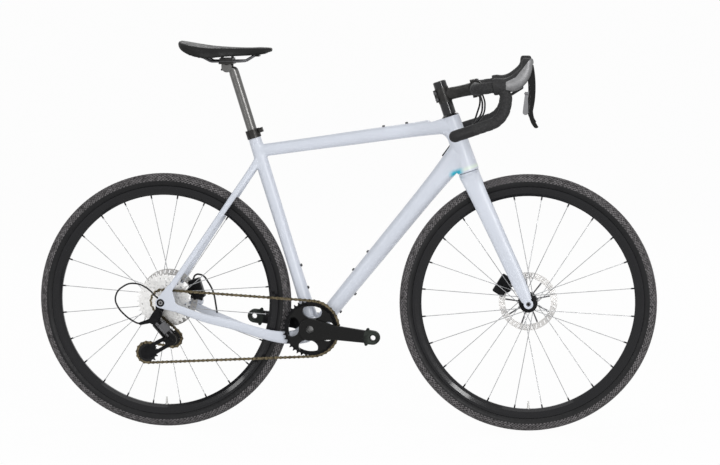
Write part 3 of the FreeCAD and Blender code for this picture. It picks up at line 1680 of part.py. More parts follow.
def crank_arm(sign, pedal):
    """One arm with its half of the spindle; the right one has the spider."""
    near = sign * n.crank_inner_y
    far = sign * (n.crank_inner_y + n.crank_thickness)
    arm = fused(arm_sides(pedal, min(near, far), max(near, far))).removeSplitter()
    arm = arm.makeFillet(3.5, flat_edges(arm))
    spindle = rod(BB + Y * (sign * (n.crank_inner_y + 1)), BB + Y * (sign * 0.05), n.spindle_radius)
    parts = [arm, spindle]
    tools = [
        rod(BB - Y * 100, BB + Y * 100, n.spindle_radius - 2.2),
        rod(pedal - Y * 100, pedal + Y * 100, n.pedal_thread_radius),
    ]
    if sign < 0:
        ring_face = CHAIN_Y - n.chainring_thickness / 2
        parts.append(spider(-n.crank_inner_y - 4.0, ring_face - 2.6))
        for at in spider_places():
            parts.append(rod(at - Y * (n.crank_inner_y + 4.4), at + Y * (ring_face - 0.02), 8.0))
            tools.append(rod(at + Y * (ring_face - 4.3), at, 4.1))
    return fused(parts).cut(tools)


def cranks():
    feature("crank_right", crank_arm(-1, PEDAL_R))
    feature("crank_left", crank_arm(1, PEDAL_L))
    boots = []
    for sign, pedal in ((-1, PEDAL_R), (1, PEDAL_L)):
        out = (pedal - BB).normalize()
        side = out.cross(Y)
        wall = n.boot_thickness
        near = sign * n.crank_inner_y
        far = sign * (n.crank_inner_y + n.crank_thickness)
        low, high = min(near, far), max(near, far)
        shell = arm_sides(pedal, low - 1.4, high + 1.4, wall)[1]
        shell = shell.common(rod(pedal + out * 18 - Y * 100, pedal + out * 18 + Y * 100, 44.0))
        knob_at = pedal - out * 17
        knob_out = n.crank_tip_radius + wall + 1.5
        for turn in (-1, 1):
            at = knob_at + side * (turn * knob_out)
            shell = shell.fuse(rod(at + Y * (low + 1.5), at + Y * (high - 1.5), 4.2))
        core = arm_sides(pedal, low - 0.02, high + 0.02, 0.02)[1]
        hole = rod(pedal - Y * 100, pedal + Y * 100, n.pedal_thread_radius + 2.2)
        boots.append(main_solid(shell.cut([core, hole])))
    return group("crank_boots", boots)


# Derailleur

LINK_LEAN = math.radians(-49.0)
SLANT = math.radians(38.0)
ELL = polar(1, LINK_LEAN)
SWING_AXIS = (polar(math.cos(SLANT), LINK_LEAN + math.pi / 2) + Y * math.sin(SLANT)).normalize()
LINK_SIDE = SWING_AXIS.cross(ELL).normalize()
LINK_BASE = Vector(UPPER_JOCKEY.x, 0, UPPER_JOCKEY.z) - ELL * (n.link_length + 13.0) + Y * (CHAIN_Y - 27.0)
LINK_FRAME = Placement(LINK_BASE, Rotation(ELL, SWING_AXIS, LINK_SIDE, "XYZ"))


def in_links(shape):
    """A shape drawn with X along the links and Y along their pivots, laid in place."""
    shape.Placement = LINK_FRAME.multiply(shape.Placement)
    return shape


def link(side):
    """Two cheeks and a web, with its pivot pins."""
    z = side * n.link_spread / 2
    a = Vector(0, 0, z)
    b = Vector(n.link_length, 0, z)
    cheeks = [belt(a, 5.0, b, 5.0, low, low + 4.0) for low in (-9.6, 5.6)]
    web = Part.makeBox(n.link_length - 24, 19.2, 6.0, Vector(12, -9.6, z - 3.0))
    holes = [rod(point - Y * 30, point + Y * 30, 2.05) for point in (a, b)]
    parts = cheeks + [web]
    if side > 0:
        cover = Part.makeBox(n.link_length - 16, 27.0, 5.5, Vector(8, -13.5, z + 2.5))
        parts.append(softened(cover, 2.2))
    body = fused(parts).cut(holes)
    pins = [rod(point - Y * 9.9, point + Y * 9.9, 2.0) for point in (a, b)]
    return [in_links(body)] + [in_links(pin) for pin in pins]


def lug(at):
    """The eye that both links turn on."""
    spread = n.link_spread / 2
    a = Vector(at, 0, -spread)
    b = Vector(at, 0, spread)
    eye = belt(a, 5.4, b, 5.4, -5.2, 5.2)
    holes = [rod(point - Y * 30, point + Y * 30, 2.0 + n.running_gap) for point in (a, b)]
    return eye, holes


B_BOLT = REAR + Vector(-6.0, 0, -29.0)
CABLE_STOP = Vector(-36.0, 0, -10.0)


def derailleur():
    spread = n.link_spread / 2
    eye, holes = lug(0)
    block = Part.makeBox(13, 19, 2 * spread + 9, Vector(-19, -9.5, -spread - 4.5))
    bridge = Part.makeBox(8, 10.4, 2 * spread + 4, Vector(-8, -5.2, -spread - 2))
    whole = in_links(fused([eye, block.makeFillet(2.5, block.Edges), bridge]).cut(holes))
    b_low = -n.rear_hub_width / 2 - 19.0
    b_high = -n.rear_hub_width / 2 - 4.25
    boss = rod(B_BOLT + Y * b_low, B_BOLT + Y * b_high, 13.0)
    block_at = LINK_FRAME.multVec(Vector(-13, 0, 0))
    web = belt(B_BOLT, 13.0, Vector(block_at.x, 0, block_at.z), 12.0, b_low + 2, b_low + 11)
    stop_at = block_at + CABLE_STOP
    stop = belt(
        Vector(block_at.x, 0, block_at.z), 7.0, Vector(stop_at.x, 0, stop_at.z), 4.0, b_low + 3, b_low + 9
    )
    bolt_hole = rod(B_BOLT - Y * 200, B_BOLT, 4.05)
    body = fused([whole, boss, web, stop]).cut([bolt_hole])
    room = [in_links(shape) for shape in link_room(0, 1) + holes]
    plate_room = belt(
        REAR, 13.4, B_BOLT, 10.4, -n.rear_hub_width / 2 - 4.24, -n.rear_hub_width / 2 + 1.0
    )
    body = body.cut(room + [plate_room])
    b_bolt = rod(B_BOLT + Y * (b_low - 0.02), B_BOLT + Y * -n.rear_hub_width / 2, 4.0)
    b_bolt = b_bolt.fuse(rod(B_BOLT + Y * (b_low - 3.5), B_BOLT + Y * (b_low - 0.02), 7.0))
    group("derailleur_body", [main_solid(body), b_bolt])
    group("derailleur_outer_link", link(1))
    group("derailleur_inner_link", link(-1))

    eye, holes = lug(n.link_length)
    block = Part.makeBox(14, 19, 2 * spread + 9, Vector(n.link_length + 6, -9.5, -spread - 4.5))
    bridge = Part.makeBox(8, 10.4, 2 * spread + 4, Vector(n.link_length, -5.2, -spread - 2))
    end = in_links(fused([eye, block.makeFillet(2.5, block.Edges), bridge]))
    pivot_low = CHAIN_Y - 40.0
    pivot_high = CHAIN_Y - 10.0
    drum = rod(UPPER_JOCKEY + Y * pivot_low, UPPER_JOCKEY + Y * pivot_high, 16.0)
    drum = drum.makeFillet(2.5, drum.Edges[:1] + drum.Edges[2:])
    knuckle = fused([end, drum])
    room = [in_links(shape) for shape in link_room(n.link_length, -1) + holes]
    axle_hole = rod(UPPER_JOCKEY - Y * 120, UPPER_JOCKEY, 4.0 + n.running_gap)
    feature("derailleur_knuckle", main_solid(knuckle.cut(room + [axle_hole])))

    plates = []
    for low, high in ((CHAIN_Y - 9.6, CHAIN_Y - 6.6), (CHAIN_Y + 5.2, CHAIN_Y + 7.2)):
        plate = belt(UPPER_JOCKEY, 15.0, LOWER_JOCKEY, 17.0, low, high)
        run = LOWER_JOCKEY - UPPER_JOCKEY
        windows = [
            belt(UPPER_JOCKEY + run * 0.36, 5.5, UPPER_JOCKEY + run * 0.62, 6.0, low - 5, high + 5),
        ]
        plates.append(plate.cut(windows))
    axle_up = rod(UPPER_JOCKEY + Y * (CHAIN_Y - 38), UPPER_JOCKEY + Y * (CHAIN_Y + 7.2), 4.0)
    axle_low = rod(LOWER_JOCKEY + Y * (CHAIN_Y - 9.6), LOWER_JOCKEY + Y * (CHAIN_Y + 7.2), 4.0)
    feature("derailleur_cage", fused(plates + [axle_up, axle_low]))
    for label, centre, teeth in (
        ("upper_jockey", UPPER_JOCKEY, int(n.upper_jockey_teeth)),
        ("lower_jockey", LOWER_JOCKEY, int(n.lower_jockey_teeth)),
    ):
        half = n.tooth_thickness / 2
        disc = toothed(teeth, roller_phase(centre, teeth), CHAIN_Y - half, CHAIN_Y + half, centre)
        boss = rod(centre + Y * (CHAIN_Y - 4.6), centre + Y * (CHAIN_Y + 4.6), 9.0)
        bore = rod(centre - Y * 100, centre + Y * 10, 4.0 + n.running_gap)
        holes = []
        for index in range(5):
            at = centre + polar(14.0, 2 * math.pi * index / 5)
            holes.append(rod(at - Y * 100, at + Y * 10, 2.6))
        feature(label, disc.fuse(boss).cut([bore] + holes))
    return main_solid(body)


def link_room(at, inward):
    """Space round the ends of both links, through their swing."""
    spread = n.link_spread / 2
    rooms = []
    for side in (-1, 1):
        point = Vector(at, 0, side * spread)
        along = point + X * (inward * 16.0)
        for low in (-10.3, 5.3):
            rooms.append(belt(point, 6.0, along, 10.5, low, low + 5.0))
        rooms.append(belt(point + X * (inward * 14.0), 8.5, along + X * (inward * 6.0), 12.0, -10.3, 10.3))
    return rooms


def main_solid(shape):
    return max(shape.Solids, key=lambda solid: solid.Volume)


def hanger():
    low = DROPOUT_R[1] + 0.02
    high = -n.rear_hub_width / 2 - 0.02
    plate = belt(REAR, 13.0, B_BOLT, 10.0, low, high)
    boss = rod(REAR + Y * DROPOUT_R[0], REAR + Y * (low + 1), 10.5)
    holes = [
        rod(REAR - Y * 100, REAR, n.axle_radius + 0.1),
        rod(B_BOLT - Y * 100, B_BOLT, 4.05),
    ]
    return feature("derailleur_hanger", plate.fuse(boss).cut(holes))


# Brakes


def caliper(label, centre, bearing, lean, rotor_y, feet, seat_on):
    """A body astride the rotor at a bearing from the axle, with its foot, and two pads."""
    angle = math.radians(bearing)
    out = polar(1, angle)
    middle = centre + out * (n.rotor_radius + 2.0) + Y * rotor_y
    body = softened(box_at(middle, 34, 27, 56, lean), 4.0)
    pistons = [
        rod(centre + out * 69 + Y * (rotor_y - 15.5), centre + out * 69 + Y * (rotor_y + 15.5), 12.5)
    ]
    groove = rod(centre + Y * (rotor_y - 1.9), centre + Y * (rotor_y + 1.9), n.rotor_radius + 4.0)
    pad_width = 2 * (n.pad_gap + n.pad_thickness + 1.2)
    pad_room = box_at(centre + out * 70 + Y * rotor_y, 17.4, pad_width, 23.4, bearing)
    shape = fused([body] + pistons + feet)
    shape = main_solid(shape.cut([groove, pad_room, seat_on]))
    pads = []
    for side in (-1, 1):
        near = n.rotor_thickness / 2 + n.pad_gap
        at = centre + out * 70 + Y * (rotor_y + side * (near + n.pad_thickness / 2))
        pads.append(box_at(at, 16.6, n.pad_thickness, 22.6, bearing))
    return feature(label, shape), pads


def brakes(stays, blades):
    rear_foot = [box_at(REAR + Vector(78, n.rear_rotor_y + 5, 4), 34, 14, 16, -12)]
    rear, pads = caliper("rear_caliper", REAR, 18.0, 18.0, n.rear_rotor_y, rear_foot, stays)
    feature("rear_pad_inboard", pads[0])
    feature("rear_pad_outboard", pads[1])
    front_foot = [box_at(FRONT + Vector(-47, n.front_rotor_y + 9, 50), 40, 12, 22, 24)]
    pads = caliper("front_caliper", FRONT, 147.0, 147.0, n.front_rotor_y, front_foot, blades)[1]
    feature("front_pad_inboard", pads[0])
    feature("front_pad_outboard", pads[1])
    return rear.Shape


# Cables


def cables(frame_solid, stays, blades, rear_body, shifter_body):
    """Each run is drawn into the pieces at its ends and trimmed to their faces."""
    tape_end = n.tape_start - 0.15
    under_tape = box_at(Vector(BAR.x, -tape_end - 100, BAR.z), 200, 200, 200)
    turned_room = under_tape.copy()
    turned_room.Placement = FRONT_TURN.multiply(turned_room.Placement)
    start = BAR + Vector(9, -n.tape_start - 3, -n.bar_radius)
    port = steer(n.down_tube_head + 20, -26)
    runs = []
    for shift, radius in ((0.0, 2.5), (7.0, 2.3)):
        near_bar = [
            start + Vector(shift, 0, 0),
            start + Vector(2 + shift, 9, -4),
            start + Vector(9 + shift, 18, -24),
            start + Vector(8 + shift, 42, -54),
            start + Vector(-16 + shift * 0.6, 94, -92),
        ]
        near_frame = [
            Vector(port.x + 8, 31 + shift, port.z + 16),
            Vector(port.x - 12, 19 + shift * 0.4, port.z - 12),
            Vector(port.x - 22, 6 + shift * 0.4, port.z - 26),
        ]
        run = cable([FRONT_TURN.multVec(point) for point in near_bar] + near_frame, radius)
        runs.append(main_solid(run.cut([turned_room, frame_solid])))
    group("steering_cables", runs)
    crown = steer(crown_at - 20)
    hose = cable(
        [
            BAR + Vector(9, n.tape_start + 3, -n.bar_radius),
            BAR + Vector(10, n.tape_start - 6, -n.bar_radius - 5),
            BAR + Vector(12, n.tape_start - 12, -44),
            BAR + Vector(-8, 56, -104),
            steer(crown_at + 70, 2.0, 50.0),
            steer(crown_at + 14, 2.0, 49.0),
            crown + Vector(2, 34, -6),
        ],
        2.5,
    )
    feature("front_brake_hose", main_solid(hose.cut([mirrored(under_tape), blades])))
    y = DROPOUT_R[0] - 3.5
    stop_at = LINK_FRAME.multVec(Vector(-13, 0, 0)) + CABLE_STOP
    loop = cable(
        [
            REAR + Vector(-5, y + 7.5, 11),
            REAR + Vector(-12, y, 18),
            REAR + Vector(-30, y - 1, 38),
            REAR + Vector(-56, y - 1, 53),
            REAR + Vector(-87, y - 1, 55),
            REAR + Vector(-118, y - 1, 35),
            REAR + Vector(-127, y - 1, 8),
            REAR + Vector(-113, y - 1, -20),
            REAR + Vector(-88, y - 1, -43),
            Vector(stop_at.x - 9.0, y - 1, stop_at.z + 0.5),
            Vector(stop_at.x + 5.0, y - 1, stop_at.z + 0.5),
        ],
        2.3,
    )
    loop = main_solid(loop.cut([stays, shifter_body]))
    hose = cable(
        [
            REAR + Vector(64, n.rear_rotor_y + 9, 44),
            REAR + Vector(72, n.rear_rotor_y + 9, 66),
            REAR + Vector(96, n.rear_rotor_y + 8, 62),
            REAR + Vector(124, n.rear_rotor_y + 4, 20),
            REAR + Vector(134, n.rear_rotor_y + 1, -42),
        ],
        2.5,
    )
    hose = main_solid(hose.cut([stays, rear_body]))
    group("rear_cables", [loop, hose])


# The whole bike

FRONT_END = (
    "fork",
    "headset_spacers",
    "stem",
    "stem_faceplate",
    "stem_bolts",
    "handlebar",
    "bar_tape",
    "bar_end_plugs",
    "lever_hoods",
    "brake_lever_right",
    "brake_lever_left",
    "shift_paddle",
    "thumb_lever",
)

frame_outer = front_outer()
front_triangle(frame_outer)
stays = rear_triangle(frame_outer).Shape
frame_fittings(frame_outer)
hanger()

FRONT_FLANGES = (20.0, -31.0)
REAR_FLANGES = (33.0, -17.0)
front_faces = (n.front_hub_width / 2, -n.front_hub_width / 2)
rear_faces = (n.rear_hub_width / 2, -n.rear_hub_width / 2)
for name, centre, flanges in (("front", FRONT, FRONT_FLANGES), ("rear", REAR, REAR_FLANGES)):
    tyre(name + "_tyre", centre)
    rim(name + "_rim", centre)
    spokes(name + "_spokes", centre, flanges, n.hub_flange_radius)
    valve(name + "_valve", centre)
hub("front_hub", FRONT, front_faces[0] - 3.0, front_faces[1] + 10.0, FRONT_FLANGES, d("front_rotor_y"))
hub("rear_hub", REAR, rear_faces[0] - 8.0, -21.0, REAR_FLANGES, d("rear_rotor_y"))
rotor("front_rotor", FRONT, n.front_rotor_y)
rotor("rear_rotor", REAR, n.rear_rotor_y)
thru_axle("front_thru_axle", FRONT, front_faces[0], front_faces[1], 12.95, 9.0)
thru_axle("rear_thru_axle", REAR, rear_faces[0], rear_faces[1], 8.05, 7.0)

blades = fork().Shape
headset_stack()
stem_parts()
handlebar_parts()
lever_parts()
saddle_parts(seat_parts())

cassette()
chainring()
cranks()
chain()
shifter_body = derailleur()
rear_body = brakes(stays, blades)
cables(frame_outer, stays, blades, rear_body, shifter_body)

# the front end stands turned a little to the left
for made in NODES:
    if made.Label in FRONT_END or made.Label.startswith("front_") and made.Label != "front_triangle":
        made.Placement = FRONT_TURN.multiply(made.Placement)
doc.recompute()
for item in doc.Objects:
    if "Invalid" in item.State or "Error" in item.State:
        raise RuntimeError("%s did not recompute: %s" % (item.Label, item.State))
os.makedirs("parts", exist_ok=True)
for made in NODES:
    shape = made.Shape
    if shape.isNull() or not shape.isValid() or not shape.Solids:
        raise RuntimeError("%s has no valid solid" % made.Label)
    shape.exportStep("parts/%s.step" % made.Label)
print(len(NODES), "nodes")
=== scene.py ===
"""Looks of a drop-bar gravel bicycle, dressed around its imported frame. Metres, +X forward, +Z up."""

import functools
import math

import bmesh
import bpy
import numpy as np
from mathutils import Matrix, Vector


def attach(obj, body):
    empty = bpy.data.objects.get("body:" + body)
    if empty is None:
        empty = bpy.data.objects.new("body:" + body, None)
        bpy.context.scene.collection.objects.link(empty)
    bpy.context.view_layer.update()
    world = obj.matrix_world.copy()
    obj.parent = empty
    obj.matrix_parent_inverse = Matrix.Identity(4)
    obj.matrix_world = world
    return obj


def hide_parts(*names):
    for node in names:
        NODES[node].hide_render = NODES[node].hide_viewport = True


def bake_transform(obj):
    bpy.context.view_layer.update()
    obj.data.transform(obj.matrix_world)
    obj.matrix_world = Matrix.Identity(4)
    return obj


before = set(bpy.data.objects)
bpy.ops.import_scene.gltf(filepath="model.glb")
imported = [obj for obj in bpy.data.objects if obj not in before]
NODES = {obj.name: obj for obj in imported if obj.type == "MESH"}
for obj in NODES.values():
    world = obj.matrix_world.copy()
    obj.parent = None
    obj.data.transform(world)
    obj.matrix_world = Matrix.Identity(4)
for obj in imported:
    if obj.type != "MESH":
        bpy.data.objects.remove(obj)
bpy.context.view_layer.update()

FRONT = Vector((0.502, 0, 0.351))
REAR = Vector((-0.502, 0, 0.351))
BOTTOM_BRACKET = Vector((-0.09, 0, 0.28))
BAR = Vector((0.360637, 0, 0.936569))
STEER_FOOT = Vector((0.340279, 0, 0.709575))
HEAD_UP = Vector((-0.309017, 0, 0.951057))
SEAT_UP = Vector((-0.292372, 0, 0.956305))
ACROSS = Vector((0, 1, 0))

# The front end stands turned a little to the left, about the head tube's axis
REST_TURN = math.radians(6.0)
FRONT_TURN = (
    Matrix.Translation(STEER_FOOT)
    @ Matrix.Rotation(REST_TURN, 4, HEAD_UP)
    @ Matrix.Translation(-STEER_FOOT)
)
FRONT_AXLE = FRONT_TURN @ FRONT
FRONT_ACROSS = FRONT_TURN.to_3x3() @ ACROSS


# Camera, floor and light


def photo_camera():
    """A long lens on the drive side, a little ahead of the bike and above it."""
    place = Vector((1.3889, -10.0626, 1.5307))
    yaw, pitch, roll = [math.radians(angle) for angle in (7.63, 5.57, -0.40)]
    forward = Vector((
        -math.sin(yaw) * math.cos(pitch),
        math.cos(yaw) * math.cos(pitch),
        -math.sin(pitch),
    ))
    level = Vector((math.cos(yaw), math.sin(yaw), 0))
    upright = level.cross(forward)
    right = level * math.cos(roll) + upright * math.sin(roll)
    up = upright * math.cos(roll) - level * math.sin(roll)
    data = bpy.data.cameras.new("photo_camera")
    data.sensor_fit = "HORIZONTAL"
    data.sensor_width = 36.0
    data.lens = 186.25
    data.clip_end = 200.0
    camera = bpy.data.objects.new("photo_camera", data)
    axes = Matrix((right, up, -forward)).transposed()
    camera.matrix_world = Matrix.Translation(place) @ axes.to_4x4()
    bpy.context.scene.collection.objects.link(camera)
    bpy.context.scene.camera = camera


def seen_directly(tree):
    """1 for what the camera, a mirror or glass sees, 0 for what only lights the object."""
    path = tree.nodes.new("ShaderNodeLightPath")
    total = path.outputs["Is Camera Ray"]
    for name in ("Is Glossy Ray", "Is Transmission Ray"):
        join = tree.nodes.new("ShaderNodeMath")
        join.operation = "MAXIMUM"
        tree.links.new(total, join.inputs[0])
        tree.links.new(path.outputs[name], join.inputs[1])
        total = join.outputs[0]
    return total


def white_world(light):
    """White to the eye, and a plainer level where it only lights the object."""
    world = bpy.data.worlds.new("studio")
    world.use_nodes = True
    bpy.context.scene.world = world
    tree = world.node_tree
    background = tree.nodes["Background"]
    background.inputs["Color"].default_value = (1, 1, 1, 1)
    scale = tree.nodes.new("ShaderNodeMapRange")
    scale.inputs["To Min"].default_value = light
    scale.inputs["To Max"].default_value = 1.0
    tree.links.new(seen_directly(tree), scale.inputs["Value"])
    tree.links.new(scale.outputs[0], background.inputs["Strength"])


def white_floor(keep_shadow):
    """A floor that reads white to the camera and still takes part of the shadow."""
    size = 120.0
    mesh = bpy.data.meshes.new("floor")
    corners = [(-size, -size, 0), (size, -size, 0), (size, size, 0), (-size, size, 0)]
    mesh.from_pydata(corners, [], [(0, 1, 2, 3)])
    floor = bpy.data.objects.new("floor", mesh)
    bpy.context.scene.collection.objects.link(floor)
    surface = bpy.data.materials.new("floor_white")
    surface.use_nodes = True
    tree = surface.node_tree
    tree.nodes.clear()
    out = tree.nodes.new("ShaderNodeOutputMaterial")
    matt = tree.nodes.new("ShaderNodeBsdfDiffuse")
    matt.inputs["Color"].default_value = (0.92, 0.92, 0.92, 1)
    glow = tree.nodes.new("ShaderNodeEmission")
    glow.inputs["Strength"].default_value = 1.0
    share = tree.nodes.new("ShaderNodeMapRange")
    share.inputs["To Max"].default_value = 1.0 - keep_shadow
    mix = tree.nodes.new("ShaderNodeMixShader")
    tree.links.new(seen_directly(tree), share.inputs["Value"])
    tree.links.new(share.outputs[0], mix.inputs[0])
    tree.links.new(matt.outputs[0], mix.inputs[1])
    tree.links.new(glow.outputs[0], mix.inputs[2])
    tree.links.new(mix.outputs[0], out.inputs["Surface"])
    mesh.materials.append(surface)


def soft_box(name, place, target, size, power):
    data = bpy.data.lights.new(name, "AREA")
    data.shape = "RECTANGLE"
    data.size, data.size_y = size
    data.energy = power
    lamp = bpy.data.objects.new(name, data)
    lamp.location = place
    lamp.rotation_euler = (Vector(target) - Vector(place)).to_track_quat("-Z", "Y").to_euler()
    bpy.context.scene.collection.objects.link(lamp)


# Materials


# A mix node's sockets for colours, by number because their names repeat
MIX_SHARE, MIX_UNDER, MIX_OVER, MIX_RESULT = 0, 6, 7, 2
# The part of a noise's range that is spread over a change of roughness, and of shade
ROUGH_SPAN = (0.3, 0.7)
MOTTLE_SPAN = (0.35, 0.7)
LEAST_ROUGH = 0.02
# How fast the waves of the carbon weave, the hoods' ribs and the rotors' grinding run, in radians per metre
WEAVE_RATE, RIB_RATE, GRINDING_RATE = 2400.0, 2200.0, 9000.0


class Surface:
    """A principled material with its noise-driven colour, roughness and relief."""

    def __init__(self, name, colour, rough, metal=0.0):
        self.made = bpy.data.materials.new(name)
        self.made.use_nodes = True
        self.tree = self.made.node_tree
        self.shader = self.tree.nodes["Principled BSDF"]
        self.colour = colour
        self.shader.inputs["Base Color"].default_value = (*colour, 1)
        self.shader.inputs["Roughness"].default_value = rough
        self.shader.inputs["Metallic"].default_value = metal
        self.rough = rough
        self.place = self.tree.nodes.new("ShaderNodeTexCoord").outputs["Object"]
        self.paint = None
        self.normal = None

    def node(self, kind, **inputs):
        made = self.tree.nodes.new(kind)
        for key, value in inputs.items():
            made.inputs[key.replace("_", " ")].default_value = value
        return made

    def join(self, start, stop):
        self.tree.links.new(start, stop)

    def set(self, **inputs):
        for key, value in inputs.items():
            self.shader.inputs[key.replace("_", " ")].default_value = value

    def math(self, operation, first, second=None):
        made = self.tree.nodes.new("ShaderNodeMath")
        made.operation = operation
        for socket, value in zip(made.inputs, (first, second)):
            if value is None:
                continue
            if isinstance(value, (int, float)):
                socket.default_value = value
            else:
                self.join(value, socket)
        return made.outputs[0]

    def noise(self, size, detail=4.0, stretch=(1, 1, 1)):
        """Noise whose blotches are about that many metres across."""
        scale = self.tree.nodes.new("ShaderNodeMapping")
        scale.inputs["Scale"].default_value = stretch
        self.join(self.place, scale.inputs["Vector"])
        made = self.node("ShaderNodeTexNoise", Scale=1.0 / size, Detail=detail)
        self.join(scale.outputs[0], made.inputs["Vector"])
        return made.outputs["Fac"]

    def cells(self, size):
        made = self.node("ShaderNodeTexVoronoi", Scale=1.0 / size)
        self.join(self.place, made.inputs["Vector"])
        return made.outputs["Distance"]

    def between(self, value, low, high, to_low=0.0, to_high=1.0):
        made = self.node("ShaderNodeMapRange", From_Min=low, From_Max=high, To_Min=to_low, To_Max=to_high)
        self.join(value, made.inputs["Value"])
        return made.outputs[0]

    def hump(self, value, foot, rise, fall, end):
        """Climbs from 0 to 1 between two values and falls back to 0 between the next two."""
        climb = self.between(value, foot, rise)
        return self.math("MULTIPLY", climb, self.between(value, fall, end, 1.0, 0.0))

    def tint(self, share, colour):
        """Lays a colour over what is there, by a share from 0 to 1."""
        mix = self.tree.nodes.new("ShaderNodeMix")
        mix.data_type = "RGBA"
        if self.paint is None:
            mix.inputs[MIX_UNDER].default_value = (*self.colour, 1)
        else:
            self.join(self.paint, mix.inputs[MIX_UNDER])
        mix.inputs[MIX_OVER].default_value = (*colour, 1)
        self.join(share, mix.inputs[MIX_SHARE])
        self.paint = mix.outputs[MIX_RESULT]
        self.join(self.paint, self.shader.inputs["Base Color"])
        return self

    def mottle(self, size, depth):
        """Patches of a slightly darker shade."""
        darker = [channel * (1 - depth) for channel in self.colour]
        return self.tint(self.between(self.noise(size), *MOTTLE_SPAN), darker)

    def roughen(self, size, spread):
        least = max(LEAST_ROUGH, self.rough - spread)
        shade = self.between(self.noise(size), *ROUGH_SPAN, least, self.rough + spread)
        self.join(shade, self.shader.inputs["Roughness"])
        return self

    def relief(self, height, depth):
        """Bump of that depth in metres from a 0 to 1 height."""
        bump = self.node("ShaderNodeBump", Strength=1.0, Distance=depth)
        self.join(height, bump.inputs["Height"])
        if self.normal is not None:
            self.join(self.normal, bump.inputs["Normal"])
        self.normal = bump.outputs[0]
        self.join(self.normal, self.shader.inputs["Normal"])

    def axis(self, name):
        split = self.tree.nodes.new("ShaderNodeSeparateXYZ")
        self.join(self.place, split.inputs[0])
        return split.outputs[name]

    def along(self, origin, direction):
        """How far a point lies from an origin along a direction."""
        dot = self.tree.nodes.new("ShaderNodeVectorMath")
        dot.operation = "DOT_PRODUCT"
        self.join(self.place, dot.inputs[0])
        dot.inputs[1].default_value = direction
        return self.math("SUBTRACT", dot.outputs["Value"], Vector(origin).dot(Vector(direction)))

    def wave(self, direction, rate):
        """A sine that runs along a direction."""
        return self.math("SINE", self.math("MULTIPLY", self.along((0, 0, 0), direction), rate))

    def radius(self, centre, axle):
        """How far a point lies from a line through a centre."""
        away = self.tree.nodes.new("ShaderNodeVectorMath")
        away.operation = "SUBTRACT"
        self.join(self.place, away.inputs[0])
        away.inputs[1].default_value = centre
        flat = self.tree.nodes.new("ShaderNodeVectorMath")
        flat.operation = "CROSS_PRODUCT"
        self.join(away.outputs[0], flat.inputs[0])
        flat.inputs[1].default_value = axle
        length = self.tree.nodes.new("ShaderNodeVectorMath")
        length.operation = "LENGTH"
        self.join(flat.outputs[0], length.inputs[0])
        return length.outputs["Value"]


def frame_paint():
    """Pale blue-grey, with a blue patch behind the fork's crown and a faint green edge above it."""
    paint = Surface("frame_paint", (0.625, 0.66, 0.735), 0.4)
    paint.set(Coat_Weight=0.2, Coat_Roughness=0.2)
    paint.mottle(0.09, depth=0.05)
    flake = paint.between(paint.noise(0.0009, detail=2.0), 0.62, 0.8, 0.0, 0.3)
    paint.tint(flake, (0.76, 0.79, 0.84))
    crown = paint.along(STEER_FOOT, HEAD_UP)
    ahead = paint.axis("X")
    band = paint.hump(crown, -0.002, 0.004, 0.009, 0.019)
    blue = paint.hump(ahead, 0.287, 0.300, 0.318, 0.332)
    paint.tint(paint.math("MULTIPLY", band, blue), (0.03, 0.50, 0.66))
    edge = paint.between(crown, 0.004, 0.008)
    pale = paint.math("MULTIPLY", paint.between(ahead, 0.318, 0.335), edge)
    faint = paint.math("MULTIPLY", paint.math("MULTIPLY", band, pale), 0.55)
    paint.tint(faint, (0.74, 0.88, 0.66))
    paint.roughen(0.03, spread=0.05)
    paint.relief(paint.noise(0.0035, detail=3.0), depth=0.00003)
    return paint.made


def rubber(name, colour, rough, speckle=0.02):
    made = Surface(name, colour, rough)
    made.mottle(speckle, depth=0.8).roughen(0.008, spread=0.1)
    made.set(Specular_IOR_Level=0.2)
    made.relief(made.noise(0.0009, detail=5.0), depth=0.00008)
    return made.made


def sidewall_rubber():
    made = Surface("sidewall_rubber", (0.009, 0.009, 0.010), 0.46)
    made.mottle(0.03, depth=0.35).roughen(0.01, spread=0.1)
    made.set(Specular_IOR_Level=0.22)
    made.relief(made.cells(0.0011), depth=0.00006)
    return made.made


def gloss_composite(name, colour, rough, coat=0.12):
    """Clear-coated carbon with a faint woven shade under the gloss."""
    made = Surface(name, colour, rough)
    made.set(Coat_Weight=coat, Coat_Roughness=0.07, Specular_IOR_Level=0.08)
    warp = made.wave((0.7, 0.2, 0.7), WEAVE_RATE)
    weft = made.wave((0.7, -0.2, -0.7), WEAVE_RATE)
    weave = made.between(made.math("MULTIPLY", warp, weft), -0.4, 0.4)
    made.tint(weave, [channel * 1.9 + 0.002 for channel in colour])
    made.roughen(0.02, spread=0.06)
    made.relief(made.noise(0.002, detail=3.0), depth=0.00002)
    return made.made


def anodised(name, colour, rough=0.42):
    made = Surface(name, colour, rough, metal=0.85)
    made.mottle(0.012, depth=0.35).roughen(0.006, spread=0.09)
    made.set(Specular_IOR_Level=0.2)
    made.relief(made.noise(0.0005, detail=3.0), depth=0.00003)
    return made.made


def bright_metal(name, colour, rough, stretch=(1, 1, 1)):
    """Metal with fine scratches, drawn out where it was ground."""
    made = Surface(name, colour, rough, metal=1.0)
    made.mottle(0.01, depth=0.15)
    scratch = made.noise(0.0007, detail=6.0, stretch=stretch)
    shade = made.between(scratch, *ROUGH_SPAN, rough - 0.08, rough + 0.14)
    made.join(shade, made.shader.inputs["Roughness"])
    made.relief(scratch, depth=0.00002)
    return made.made


def chain_metal():
    made = Surface("chain_metal", (0.20, 0.165, 0.105), 0.3, metal=1.0)
    made.mottle(0.0045, depth=0.93).roughen(0.002, spread=0.12)
    made.relief(made.noise(0.0006), depth=0.00003)
    return made.made


